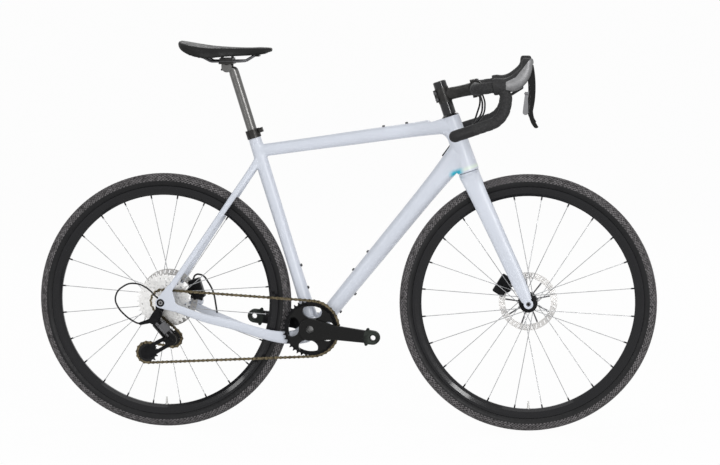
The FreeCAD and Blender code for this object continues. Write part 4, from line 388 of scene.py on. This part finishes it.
def spoke_metal(name, centre, axle):
    """Drawn steel, with its nipples black at the rim."""
    made = Surface(name, (0.42, 0.425, 0.435), 0.32, metal=0.9)
    made.mottle(0.02, depth=0.3)
    nipples = made.between(made.radius(centre, axle), 0.2825, 0.2835)
    made.tint(nipples, (0.012, 0.012, 0.013))
    made.relief(made.noise(0.0006, detail=3.0), depth=0.00001)
    return made.made


def rotor_metal(name, centre, axle):
    """A ground brake track on a dark carrier."""
    made = Surface(name, (0.58, 0.57, 0.56), 0.3, metal=1.0)
    away = made.radius(centre, axle)
    rings = made.math("SINE", made.math("MULTIPLY", away, GRINDING_RATE))
    made.tint(made.between(rings, -1, 1, 0.0, 0.35), (0.36, 0.35, 0.34))
    carrier = made.between(away, 0.060, 0.064, 1.0, 0.0)
    made.tint(carrier, (0.10, 0.10, 0.105))
    made.relief(rings, depth=0.00002)
    return made.made


def matt_plastic(name, colour=(0.016, 0.016, 0.017), rough=0.55):
    made = Surface(name, colour, rough)
    made.mottle(0.006, depth=0.25).roughen(0.004, spread=0.08)
    made.set(Specular_IOR_Level=0.22)
    made.relief(made.noise(0.0006), depth=0.00004)
    return made.made


def cover_leather():
    made = Surface("saddle_cover", (0.006, 0.006, 0.006), 0.46)
    made.mottle(0.03, depth=0.3).roughen(0.012, spread=0.08)
    made.set(Specular_IOR_Level=0.2)
    made.relief(made.cells(0.0013), depth=0.00012)
    made.relief(made.noise(0.0004, detail=3.0), depth=0.00003)
    return made.made


def tape_foam():
    made = Surface("tape_foam", (0.034, 0.034, 0.035), 0.66)
    made.mottle(0.005, depth=0.5).roughen(0.004, spread=0.1)
    made.set(Specular_IOR_Level=0.2)
    made.relief(made.between(made.cells(0.0026), 0.0, 0.35), depth=0.0003)
    return made.made


def hood_rubber():
    """Moulded grip with fine diamond ribs."""
    made = Surface("hood_rubber", (0.028, 0.028, 0.029), 0.6)
    made.mottle(0.012, depth=0.45).roughen(0.005, spread=0.08)
    made.set(Specular_IOR_Level=0.24)
    one = made.wave((0.8, 0.6, 0), RIB_RATE)
    other = made.wave((0.8, -0.6, 0), RIB_RATE)
    made.relief(made.math("MAXIMUM", one, other), depth=0.00012)
    return made.made


# Meshes


WELD = 2e-6
# Each smoothing round pulls points in by the first share and lets them out by the second
SMOOTH_SHARES = (0.5, -0.52)
ROUNDS_PER_NORMAL = 4


def piece(name, verts, faces, surfaces, body, shades=None):
    mesh = bpy.data.meshes.new(name)
    mesh.from_pydata([tuple(v) for v in verts], [], faces)
    made = bpy.data.objects.new(name, mesh)
    bpy.context.scene.collection.objects.link(made)
    for surface in surfaces:
        mesh.materials.append(surface)
    mesh.polygons.foreach_set("use_smooth", np.ones(len(mesh.polygons), bool))
    if shades is not None:
        mesh.polygons.foreach_set("material_index", np.array(shades, np.int32))
    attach(made, body)
    return made


def signed_volume(faces):
    """Six times the volume inside some faces, below zero for the wall of a hollow."""
    volume = 0.0
    for face in faces:
        corners = [vert.co for vert in face.verts]
        for second, third in zip(corners[1:], corners[2:]):
            volume += corners[0].dot(second.cross(third))
    return volume


def solid_shells(nodes):
    """The nodes' outer shells as one mesh, without the closed hollows inside them."""
    welded = bmesh.new()
    for node in nodes:
        welded.from_mesh(NODES[node].data)
    bmesh.ops.remove_doubles(welded, verts=welded.verts, dist=WELD)
    left = set(welded.verts)
    hollow = []
    while left:
        island = [left.pop()]
        for vert in island:
            for edge in vert.link_edges:
                other = edge.other_vert(vert)
                if other in left:
                    left.remove(other)
                    island.append(other)
        if signed_volume({face for vert in island for face in vert.link_faces}) < 0:
            hollow.extend(island)
    bmesh.ops.delete(welded, geom=hollow, context="VERTS")
    mesh = bpy.data.meshes.new("shells")
    welded.to_mesh(mesh)
    welded.free()
    return mesh


def remeshed(mesh, voxel):
    """Points, faces and edges of an even skin over a mesh."""
    holder = bpy.data.objects.new("holder", mesh)
    bpy.context.scene.collection.objects.link(holder)
    skin = holder.modifiers.new("skin", "REMESH")
    skin.mode = "VOXEL"
    skin.voxel_size = voxel
    evaluated = holder.evaluated_get(bpy.context.evaluated_depsgraph_get())
    even = bpy.data.meshes.new_from_object(evaluated)
    bpy.data.objects.remove(holder)
    points = np.zeros(len(even.vertices) * 3)
    even.vertices.foreach_get("co", points)
    faces = [tuple(face.vertices) for face in even.polygons]
    edges = np.zeros(len(even.edges) * 2, np.int64)
    even.edges.foreach_get("vertices", edges)
    bpy.data.meshes.remove(even)
    return points.reshape(-1, 3), faces, edges.reshape(-1, 2)


def as_quads(faces):
    """Faces as rows of four corners; a triangle repeats its last one."""
    return np.array([face if len(face) == 4 else (*face, face[2]) for face in faces])


def normals_of(points, quads):
    corners = [points[quads[:, corner]] for corner in range(4)]
    turn = np.cross(corners[2] - corners[0], corners[3] - corners[1])
    total = np.zeros_like(points)
    for corner in range(4):
        for axis in range(3):
            total[:, axis] += np.bincount(quads[:, corner], turn[:, axis], len(points))
    return total / np.maximum(np.linalg.norm(total, axis=1, keepdims=True), 1e-12)


def neighbour_mean(points, edges):
    count = np.bincount(edges.ravel(), minlength=len(points))
    total = np.zeros_like(points)
    for axis in range(3):
        total[:, axis] = np.bincount(edges[:, 0], points[edges[:, 1], axis], len(points))
        total[:, axis] += np.bincount(edges[:, 1], points[edges[:, 0], axis], len(points))
    return total / np.maximum(count, 1)[:, None]


def filled(points, faces, edges, rounds, weight):
    """Inner corners fill out to fillets; outer edges and flat runs stay where they are."""
    quads = as_quads(faces)
    for index in range(rounds):
        if index % ROUNDS_PER_NORMAL == 0:
            normals = normals_of(points, quads)
        step = neighbour_mean(points, edges) - points
        rise = np.maximum(0.0, (step * normals).sum(1)) * weight
        points = points + normals * rise[:, None]
    return points


def smoothed(points, edges, rounds, weight=1.0):
    """Smoothing that keeps the volume: each step in is followed by one out."""
    for _ in range(rounds):
        for share in SMOOTH_SHARES:
            points = points + (neighbour_mean(points, edges) - points) * (share * weight)
    return points


def outside(points, origin, direction, radius):
    """1 for points further than a radius from a line, else 0."""
    away = points - np.array(origin)
    along = away @ np.array(direction)
    off_line = away - np.outer(along, np.array(direction))
    return (np.linalg.norm(off_line, axis=1) > radius).astype(float)


def skin_piece(name, nodes, surface, body, voxel, fill, rounds, bores):
    """A smooth painted skin that stands for rigid nodes whose parts run into each other."""
    points, faces, edges = remeshed(solid_shells(nodes), voxel)
    keep = np.ones(len(points))
    for origin, direction, radius in bores:
        keep *= outside(points, origin, direction, radius)
    points = filled(points, faces, edges, fill, keep)
    points = smoothed(points, edges, rounds, keep[:, None])
    made = piece(name, points, faces, [surface], body)
    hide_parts(*nodes)


# Frame and fork: the skins stay as they are within these radii of the bores


def frame_skin(paint):
    bores = [
        (STEER_FOOT, HEAD_UP, 0.0275),
        (BOTTOM_BRACKET, ACROSS, 0.0245),
        (BOTTOM_BRACKET, SEAT_UP, 0.0152),
        (REAR, ACROSS, 0.0118),
    ]
    nodes = ["front_triangle", "rear_triangle"]
    skin_piece("frame_shell", nodes, paint, "frame", voxel=0.0017, fill=70, rounds=14, bores=bores)


def fork_skin(paint):
    bores = [(STEER_FOOT, HEAD_UP, 0.0215), (FRONT_AXLE, FRONT_ACROSS, 0.0072)]
    skin_piece("fork_shell", ["fork"], paint, "steering", voxel=0.0016, fill=60, rounds=6, bores=bores)


# Tyres


TYRE_MIDDLE = 0.331
CASING = 0.0187
CASING_STEPS = 30
CASING_SEGMENTS = 256
BEAD_LEAN = math.radians(132)
BEAD_FOOT = [(0.0129, 0.3168), (0.0118, 0.3138)]

# Rows of knobs by their lean from the tread's middle, in degrees
KNOB_ROWS = (0, 14, 28, 41, 53, 64, 75, 85)
SHOULDER_START, SHOULDER_END = 50, 70
KNOB_COUNT = 216
KNOB_HALF_LENGTH = 0.0029
KNOB_HALF_WIDTH = 0.0016
SHOULDER_HALF_WIDTH = 0.0022
KNOB_SLANT = 0.0009
KNOB_ROOT = CASING - 0.0004
KNOB_TOP = 0.0200
EDGE_KNOB_TOP = 0.0195
ROOT_SHARE, TOP_SHARE = 1.2, 0.9
KNOB_CORNERS = ((-1, -1), (1, -1), (1, 1), (-1, 1))
TREAD_CREASE = math.radians(40)


def tyre_section():
    """Across the tyre from bead to bead, as (across, out)."""
    points = [(-across, out) for across, out in reversed(BEAD_FOOT)]
    for step in range(CASING_STEPS + 1):
        lean = -BEAD_LEAN + 2 * BEAD_LEAN * step / CASING_STEPS
        points.append((CASING * math.sin(lean), TYRE_MIDDLE + CASING * math.cos(lean)))
    return points + BEAD_FOOT


def tyre_casing():
    section = tyre_section()
    verts = []
    faces = []
    for turn in range(CASING_SEGMENTS):
        angle = 2 * math.pi * turn / CASING_SEGMENTS
        for across, out in section:
            verts.append(Vector((out * math.cos(angle), across, out * math.sin(angle))))
    width = len(section)
    for turn in range(CASING_SEGMENTS):
        here, there = turn * width, (turn + 1) % CASING_SEGMENTS * width
        for step in range(width - 1):
            faces.append((here + step, here + step + 1, there + step + 1, there + step))
    return verts, faces


def tyre_knobs(first):
    """Staggered rows of small slanted blocks, wider at the shoulders."""
    verts = []
    faces = []
    for index, lean in enumerate(KNOB_ROWS):
        wide = SHOULDER_HALF_WIDTH if SHOULDER_START < lean < SHOULDER_END else KNOB_HALF_WIDTH
        top = KNOB_TOP if lean < SHOULDER_END else EDGE_KNOB_TOP
        for side in (-1, 1) if lean else (1,):
            tilt = math.radians(lean * side)
            for count in range(KNOB_COUNT):
                angle = 2 * math.pi * (count + 0.5 * (index % 2)) / KNOB_COUNT
                out = Vector((math.cos(angle), 0, math.sin(angle)))
                ahead = Vector((-math.sin(angle), 0, math.cos(angle)))
                up = out * math.cos(tilt) + Vector((0, math.sin(tilt), 0))
                across = Vector((0, math.cos(tilt), 0)) - out * math.sin(tilt)
                slant = ahead * (KNOB_SLANT * side if lean else 0)
                start = first + len(verts)
                for rise, share in ((KNOB_ROOT, ROOT_SHARE), (top, TOP_SHARE)):
                    base = out * TYRE_MIDDLE + up * rise
                    for u, v in KNOB_CORNERS:
                        point = base + ahead * (u * KNOB_HALF_LENGTH * share)
                        verts.append(point + across * (v * wide * share) + slant * v)
                for corner in range(4):
                    after = (corner + 1) % 4
                    faces.append((start + corner, start + after, start + 4 + after, start + 4 + corner))
                faces.append((start + 4, start + 5, start + 6, start + 7))
    return verts, faces


def tyre(end, place, surfaces):
    verts, faces = tyre_casing()
    shades = [0] * len(faces)
    more, blocks = tyre_knobs(len(verts))
    verts = [place @ vert for vert in verts + more]
    faces += blocks
    shades += [1] * len(blocks)
    made = piece(end + "_treaded_tyre", verts, faces, surfaces, end + "_wheel", shades)
    made.data.set_sharp_from_angle(angle=TREAD_CREASE)
    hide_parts(end + "_tyre")


# Bar tape and its bands


WOUND_SIDES = 44
BAR_HALF_WIDTH = 0.206
BAR_BENDS = (0.042, 0.033, 0.062)
BAR_RADIUS = 0.0119

TAPE_START = 0.072
TAPE_STEP = 0.0012
TAPE_PITCH = 0.019
TAPE_THICK = 0.0029
TAPE_LIP = 0.0009
TAPE_CROWN = 0.00035
LIP_SHARE = 0.07
# The last stretch is bound smooth: its length for the shape, for the finish, its change-over and its radius
BOUND_LENGTH = 0.052
BOUND_FINISH_LENGTH = 0.05
BOUND_CHANGE = 0.002
BOUND_RADIUS = 0.0158

BAND_START = 0.0705
BAND_STEP = 0.0015
BAND_RINGS = 14
BAND_LENGTH = 0.0195
BAND_RADIUS = 0.0162
BAND_BEVEL = 0.0009


def rounded_path(corners, radii, step):
    """Points and directions along straight runs with an arc at every inner corner."""
    spans = []
    at = corners[0]
    for index in range(1, len(corners) - 1):
        corner = corners[index]
        before = (corners[index - 1] - corner).normalized()
        after = (corners[index + 1] - corner).normalized()
        half = before.angle(after) / 2
        reach = radii[index - 1] / math.tan(half)
        middle = corner + (before + after).normalized() * (radii[index - 1] / math.sin(half))
        spans.append((at, corner + before * reach, None))
        spans.append((corner + before * reach, corner + after * reach, middle))
        at = corner + after * reach
    spans.append((at, corners[-1], None))
    points = []
    for start, stop, middle in spans:
        if middle is None:
            count = max(1, round((stop - start).length / step))
            points.extend(start.lerp(stop, i / count) for i in range(count))
        else:
            first, last = start - middle, stop - middle
            sweep = first.angle(last)
            count = max(2, round(sweep * first.length / step))
            axle = first.cross(last).normalized()
            turns = [Matrix.Rotation(sweep * i / count, 3, axle) for i in range(count)]
            points.extend(middle + turn @ first for turn in turns)
    points.append(corners[-1])
    final = len(points) - 1
    ways = [
        (points[min(i + 1, final)] - points[max(i - 1, 0)]).normalized()
        for i in range(len(points))
    ]
    return points, ways


def bar_corners(side):
    """Corners of the bar's middle line from the tape's start to the drop's end."""
    corners = [
        (0, TAPE_START, 0),
        (0, BAR_HALF_WIDTH - 0.006, 0),
        (0.0895, BAR_HALF_WIDTH, 0.0133),
        (0.0725, BAR_HALF_WIDTH + 0.0084, -0.0809),
        (-0.0555, BAR_HALF_WIDTH + 0.030, -0.1226),
    ]
    return [FRONT_TURN @ (BAR + Vector((x, side * y, z))) for x, y, z in corners]


def add_wound_tube(verts, faces, points, ways, radius_at):
    """Adds a closed tube whose radius is set by the length along it and the angle round it."""
    start = len(verts)
    across = ways[0].orthogonal().normalized()
    run = 0.0
    for index, (point, way) in enumerate(zip(points, ways)):
        if index:
            run += (point - points[index - 1]).length
            across = (across - way * across.dot(way)).normalized()
        other = way.cross(across)
        for side in range(WOUND_SIDES):
            angle = 2 * math.pi * side / WOUND_SIDES
            reach = radius_at(run, angle)
            verts.append(point + (across * math.cos(angle) + other * math.sin(angle)) * reach)
    for index in range(len(points) - 1):
        ring = start + index * WOUND_SIDES
        for side in range(WOUND_SIDES):
            here, there = ring + side, ring + (side + 1) % WOUND_SIDES
            faces.append((here, there, there + WOUND_SIDES, here + WOUND_SIDES))
    faces.append(tuple(reversed(range(start, start + WOUND_SIDES))))
    last = start + (len(points) - 1) * WOUND_SIDES
    faces.append(tuple(range(last, last + WOUND_SIDES)))


def tape_radius(run, angle, side, length):
    """Overlapping turns, each with its edge over the turn before; the last stretch is bound smooth."""
    share = (run / TAPE_PITCH + side * angle / (2 * math.pi)) % 1.0
    edge = min(1.0, share / LIP_SHARE)
    crown = math.sin(math.pi * min(1.0, share * 1.02)) * TAPE_CROWN
    wound = BAR_RADIUS + TAPE_THICK + TAPE_LIP * edge * (1 - share) ** 0.6 + crown
    bound = min(1.0, max(0.0, (run - length + BOUND_LENGTH) / BOUND_CHANGE))
    return wound * (1 - bound) + BOUND_RADIUS * bound


def bar_tape(foam, smooth):
    verts, faces, shades = [], [], []
    for side in (-1, 1):
        points, ways = rounded_path(bar_corners(side), BAR_BENDS, TAPE_STEP)
        length = sum((after - before).length for before, after in zip(points, points[1:]))
        radius_at = functools.partial(tape_radius, side=side, length=length)
        rings = len(points) - round(BOUND_FINISH_LENGTH / TAPE_STEP)
        bound = len(verts) + rings * WOUND_SIDES
        done = len(faces)
        add_wound_tube(verts, faces, points, ways, radius_at)
        shades += [int(face[0] > bound) for face in faces[done:]]
    made = piece("bar_tape_wrap", verts, faces, [foam, smooth], "steering", shades)
    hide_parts("bar_tape")


def band_radius(run, _angle):
    return BAND_RADIUS - BAND_BEVEL * max(0.0, 1 - min(run, BAND_LENGTH - run) / BAND_STEP)


def finishing_bands(gloss):
    """Smooth bands that hold the tape's inner ends."""
    verts, faces = [], []
    for side in (-1, 1):
        reaches = [side * (BAND_START + BAND_STEP * step) for step in range(BAND_RINGS)]
        points = [FRONT_TURN @ (BAR + Vector((0, reach, 0))) for reach in reaches]
        ways = [FRONT_ACROSS * side] * len(points)
        add_wound_tube(verts, faces, points, ways, band_radius)
    piece("tape_bands", verts, faces, [gloss], "steering")


# Hoods


HORN_X, HORN_Z = BAR.x + 0.1375, BAR.z + 0.090
HOOD_VOXEL = 0.0009
HOOD_ROUNDS = 30
# The upper edge of the painted reflection, a lighter grey patch on a hood's outer side, ahead of and below
# the horn's top
REFLECTION_AHEAD = (-0.060, -0.031, -0.009, 0.0045, 0.016)
REFLECTION_BELOW = (-0.070, -0.056, -0.029, -0.011, 0.000)
REFLECTION_BACK = -0.057
REFLECTION_OUTWARD = 0.35
# How far the horn's back is drawn in, and how far its top is lowered
HORN_WAIST = 0.006
HORN_DROP = 0.004


def rounded_horn(points):
    """The soft cover draws the horn in at the back and rounds its top, lower than the bracket's corner."""
    points = points.copy()
    ahead = points[:, 0] - HORN_X
    below = points[:, 2] - HORN_Z
    behind = np.clip((0.008 - ahead) / 0.03, 0, 1)
    points[:, 0] += HORN_WAIST * behind * np.exp(-(((below + 0.028) / 0.022) ** 2))
    points[:, 2] -= HORN_DROP * np.clip((below + 0.05) / 0.05, 0, 1)
    return points


def hoods(grip, metal):
    """Moulded hoods, with a painted reflection: a lighter grey patch on the outer side of each bracket."""
    points, faces, edges = remeshed(solid_shells(["lever_hoods"]), HOOD_VOXEL)
    quads = as_quads(faces)
    back = np.array(FRONT_TURN.inverted())
    turn = np.array(FRONT_TURN)
    straight = smoothed(points, edges, HOOD_ROUNDS) @ back[:3, :3].T + back[:3, 3]
    straight = rounded_horn(straight)
    points = straight @ turn[:3, :3].T + turn[:3, 3]
    normals = normals_of(straight, quads)
    centres = straight[quads].mean(1)
    outward = normals[quads].mean(1)[:, 1] * np.sign(centres[:, 1])
    ahead = centres[:, 0] - HORN_X
    below = centres[:, 2] - HORN_Z
    # Faces below this edge on the outer side take the lighter grey of the painted reflection
    painted_reflection = below < np.interp(ahead, REFLECTION_AHEAD, REFLECTION_BELOW)
    painted_reflection = painted_reflection & (ahead > REFLECTION_BACK) & (outward > REFLECTION_OUTWARD)
    shades = painted_reflection.astype(int)
    made = piece("hood_covers", points, faces, [grip, metal], "steering", shades)
    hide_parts("lever_hoods")


# Saddle


SADDLE_VOXEL = 0.0022
SADDLE_ROUNDS = 25
GROOVE_DEPTH = 0.0030
GROOVE_HALF_WIDTH = 0.0085
# The groove fades in and out over these shares of the saddle's length, tail first
GROOVE_START, GROOVE_FADE_IN = 0.14, 0.12
GROOVE_END, GROOVE_FADE_OUT = 0.86, 0.2


def saddle(cover):
    """A firm padded cover, crowned across, with a shallow relief along its middle."""
    points, faces, edges = remeshed(solid_shells(["saddle_pad"]), SADDLE_VOXEL)
    points = smoothed(points, edges, SADDLE_ROUNDS)
    normals = normals_of(points, as_quads(faces))
    low, high = points.min(0), points.max(0)
    share = (points[:, 0] - low[0]) / (high[0] - low[0])
    fade_in = np.clip((share - GROOVE_START) / GROOVE_FADE_IN, 0, 1)
    window = fade_in * np.clip((GROOVE_END - share) / GROOVE_FADE_OUT, 0, 1)
    hollow = np.exp(-((points[:, 1] / GROOVE_HALF_WIDTH) ** 2))
    points[:, 2] -= GROOVE_DEPTH * (hollow * window * np.clip(normals[:, 2], 0, 1))
    made = piece("saddle_cover", points, faces, [cover], "seat")
    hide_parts("saddle_pad")


# Cables


def steering_cables(casing):
    """A copy of the runs from the bar to the frame, in the cable casing, fixed where they stand."""
    mesh = NODES["steering_cables"].data.copy()
    mesh.materials.clear()
    mesh.materials.append(casing)
    made = bpy.data.objects.new("bar_to_frame_cables", mesh)
    bpy.context.scene.collection.objects.link(made)
    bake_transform(made)
    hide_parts("steering_cables")


# Dressing


def dress(surface, *nodes):
    """A carried-over node takes a finish."""
    for node in nodes:
        mesh = NODES[node].data
        mesh.materials.clear()
        mesh.materials.append(surface)


photo_camera()
white_world(light=0.46)
white_floor(keep_shadow=0.035)
soft_box("overhead", (0.3, -2.2, 4.8), target=(0, 0, 0.5), size=(3.6, 1.6), power=30)
soft_box("key_strip", (3.4, -5.2, 1.9), target=(0, 0, 0.9), size=(0.5, 3.6), power=158)
soft_box("fill_strip", (-3.8, -4.8, 1.8), target=(0, 0, 0.9), size=(0.4, 3.2), power=54)
soft_box("back", (0.5, 4.5, 3.6), target=(0, 0, 0.6), size=(3.0, 1.0), power=46)

paint = frame_paint()
frame_skin(paint)
fork_skin(paint)

sidewall = sidewall_rubber()
tread = rubber("tread_rubber", (0.19, 0.18, 0.185), rough=0.85, speckle=0.007)
wheel_places = {"front": FRONT_TURN @ Matrix.Translation(FRONT), "rear": Matrix.Translation(REAR)}
for end, place in wheel_places.items():
    axle = place.to_3x3() @ ACROSS
    tyre(end, place, [sidewall, tread])
    dress(spoke_metal(end + "_spoke_metal", place.translation, axle), end + "_spokes")
    dress(rotor_metal(end + "_rotor_metal", place.translation, axle), end + "_rotor")

black_metal = anodised("black_metal", (0.014, 0.014, 0.015))
satin_metal = anodised("satin_metal", (0.042, 0.041, 0.040), rough=0.38)
rim_gloss = gloss_composite("rim_gloss", (0.006, 0.006, 0.007), rough=0.24, coat=0.3)
spacer_gloss = gloss_composite("spacer_gloss", (0.008, 0.008, 0.009), rough=0.2, coat=0.6)
carbon = gloss_composite("carbon_gloss", (0.005, 0.005, 0.005), rough=0.28)
graphite = bright_metal("graphite", (0.15, 0.148, 0.145), rough=0.3, stretch=(1, 1, 0.05))
dark_steel = bright_metal("dark_steel", (0.10, 0.10, 0.105), rough=0.36)
steel = bright_metal("bright_steel", (0.62, 0.615, 0.60), rough=0.24)
cassette_steel = bright_metal("cassette_steel", (0.86, 0.855, 0.845), rough=0.34)
silver_panel = bright_metal("silver_panel", (0.34, 0.34, 0.345), rough=0.3)
# Lighter grey for the painted reflection on the hoods' outer sides
hood_painted_reflection = bright_metal("hood_painted_reflection", (0.24, 0.24, 0.245), rough=0.48)
paddle_grey = bright_metal("paddle_grey", (0.20, 0.20, 0.205), rough=0.34)
plastic = matt_plastic("black_plastic")
casing = matt_plastic("cable_casing", (0.012, 0.012, 0.013), rough=0.42)
boot_rubber = rubber("boot_rubber", (0.034, 0.041, 0.035), rough=0.7)

dress(rim_gloss, "front_rim", "rear_rim")
dress(steel, "front_valve", "rear_valve")
dress(black_metal, "front_hub", "rear_hub", "frame_bearings", "front_caliper", "rear_caliper")
dress(dark_steel, "front_pad_inboard", "front_pad_outboard", "rear_pad_inboard", "rear_pad_outboard")
dress(dark_steel, "front_thru_axle", "boss_bolts", "stem_bolts", "saddle_rails")
dress(silver_panel, "rear_thru_axle")
dress(satin_metal, "seat_collar", "stem", "stem_faceplate", "saddle_clamp")
dress(spacer_gloss, "headset_spacers")
dress(graphite, "seatpost")
dress(carbon, "handlebar", "saddle_shell", "crank_right", "crank_left")
dress(carbon, "brake_lever_right", "brake_lever_left")
dress(paddle_grey, "shift_paddle")
dress(plastic, "bar_end_plugs", "thumb_lever", "upper_jockey", "lower_jockey")
dress(boot_rubber, "crank_boots")
dress(chain_metal(), "chain")
dress(cassette_steel, "cassette")
dress(black_metal, "chainring", "derailleur_hanger", "derailleur_body")
dress(black_metal, "derailleur_inner_link", "derailleur_knuckle", "derailleur_cage")
dress(dark_steel, "derailleur_outer_link")
dress(casing, "front_brake_hose", "rear_cables")

steering_cables(casing)
bar_tape(tape_foam(), plastic)
finishing_bands(plastic)
hoods(hood_rubber(), hood_painted_reflection)
saddle(cover_leather())

bpy.context.scene.view_settings.view_transform = "Standard"
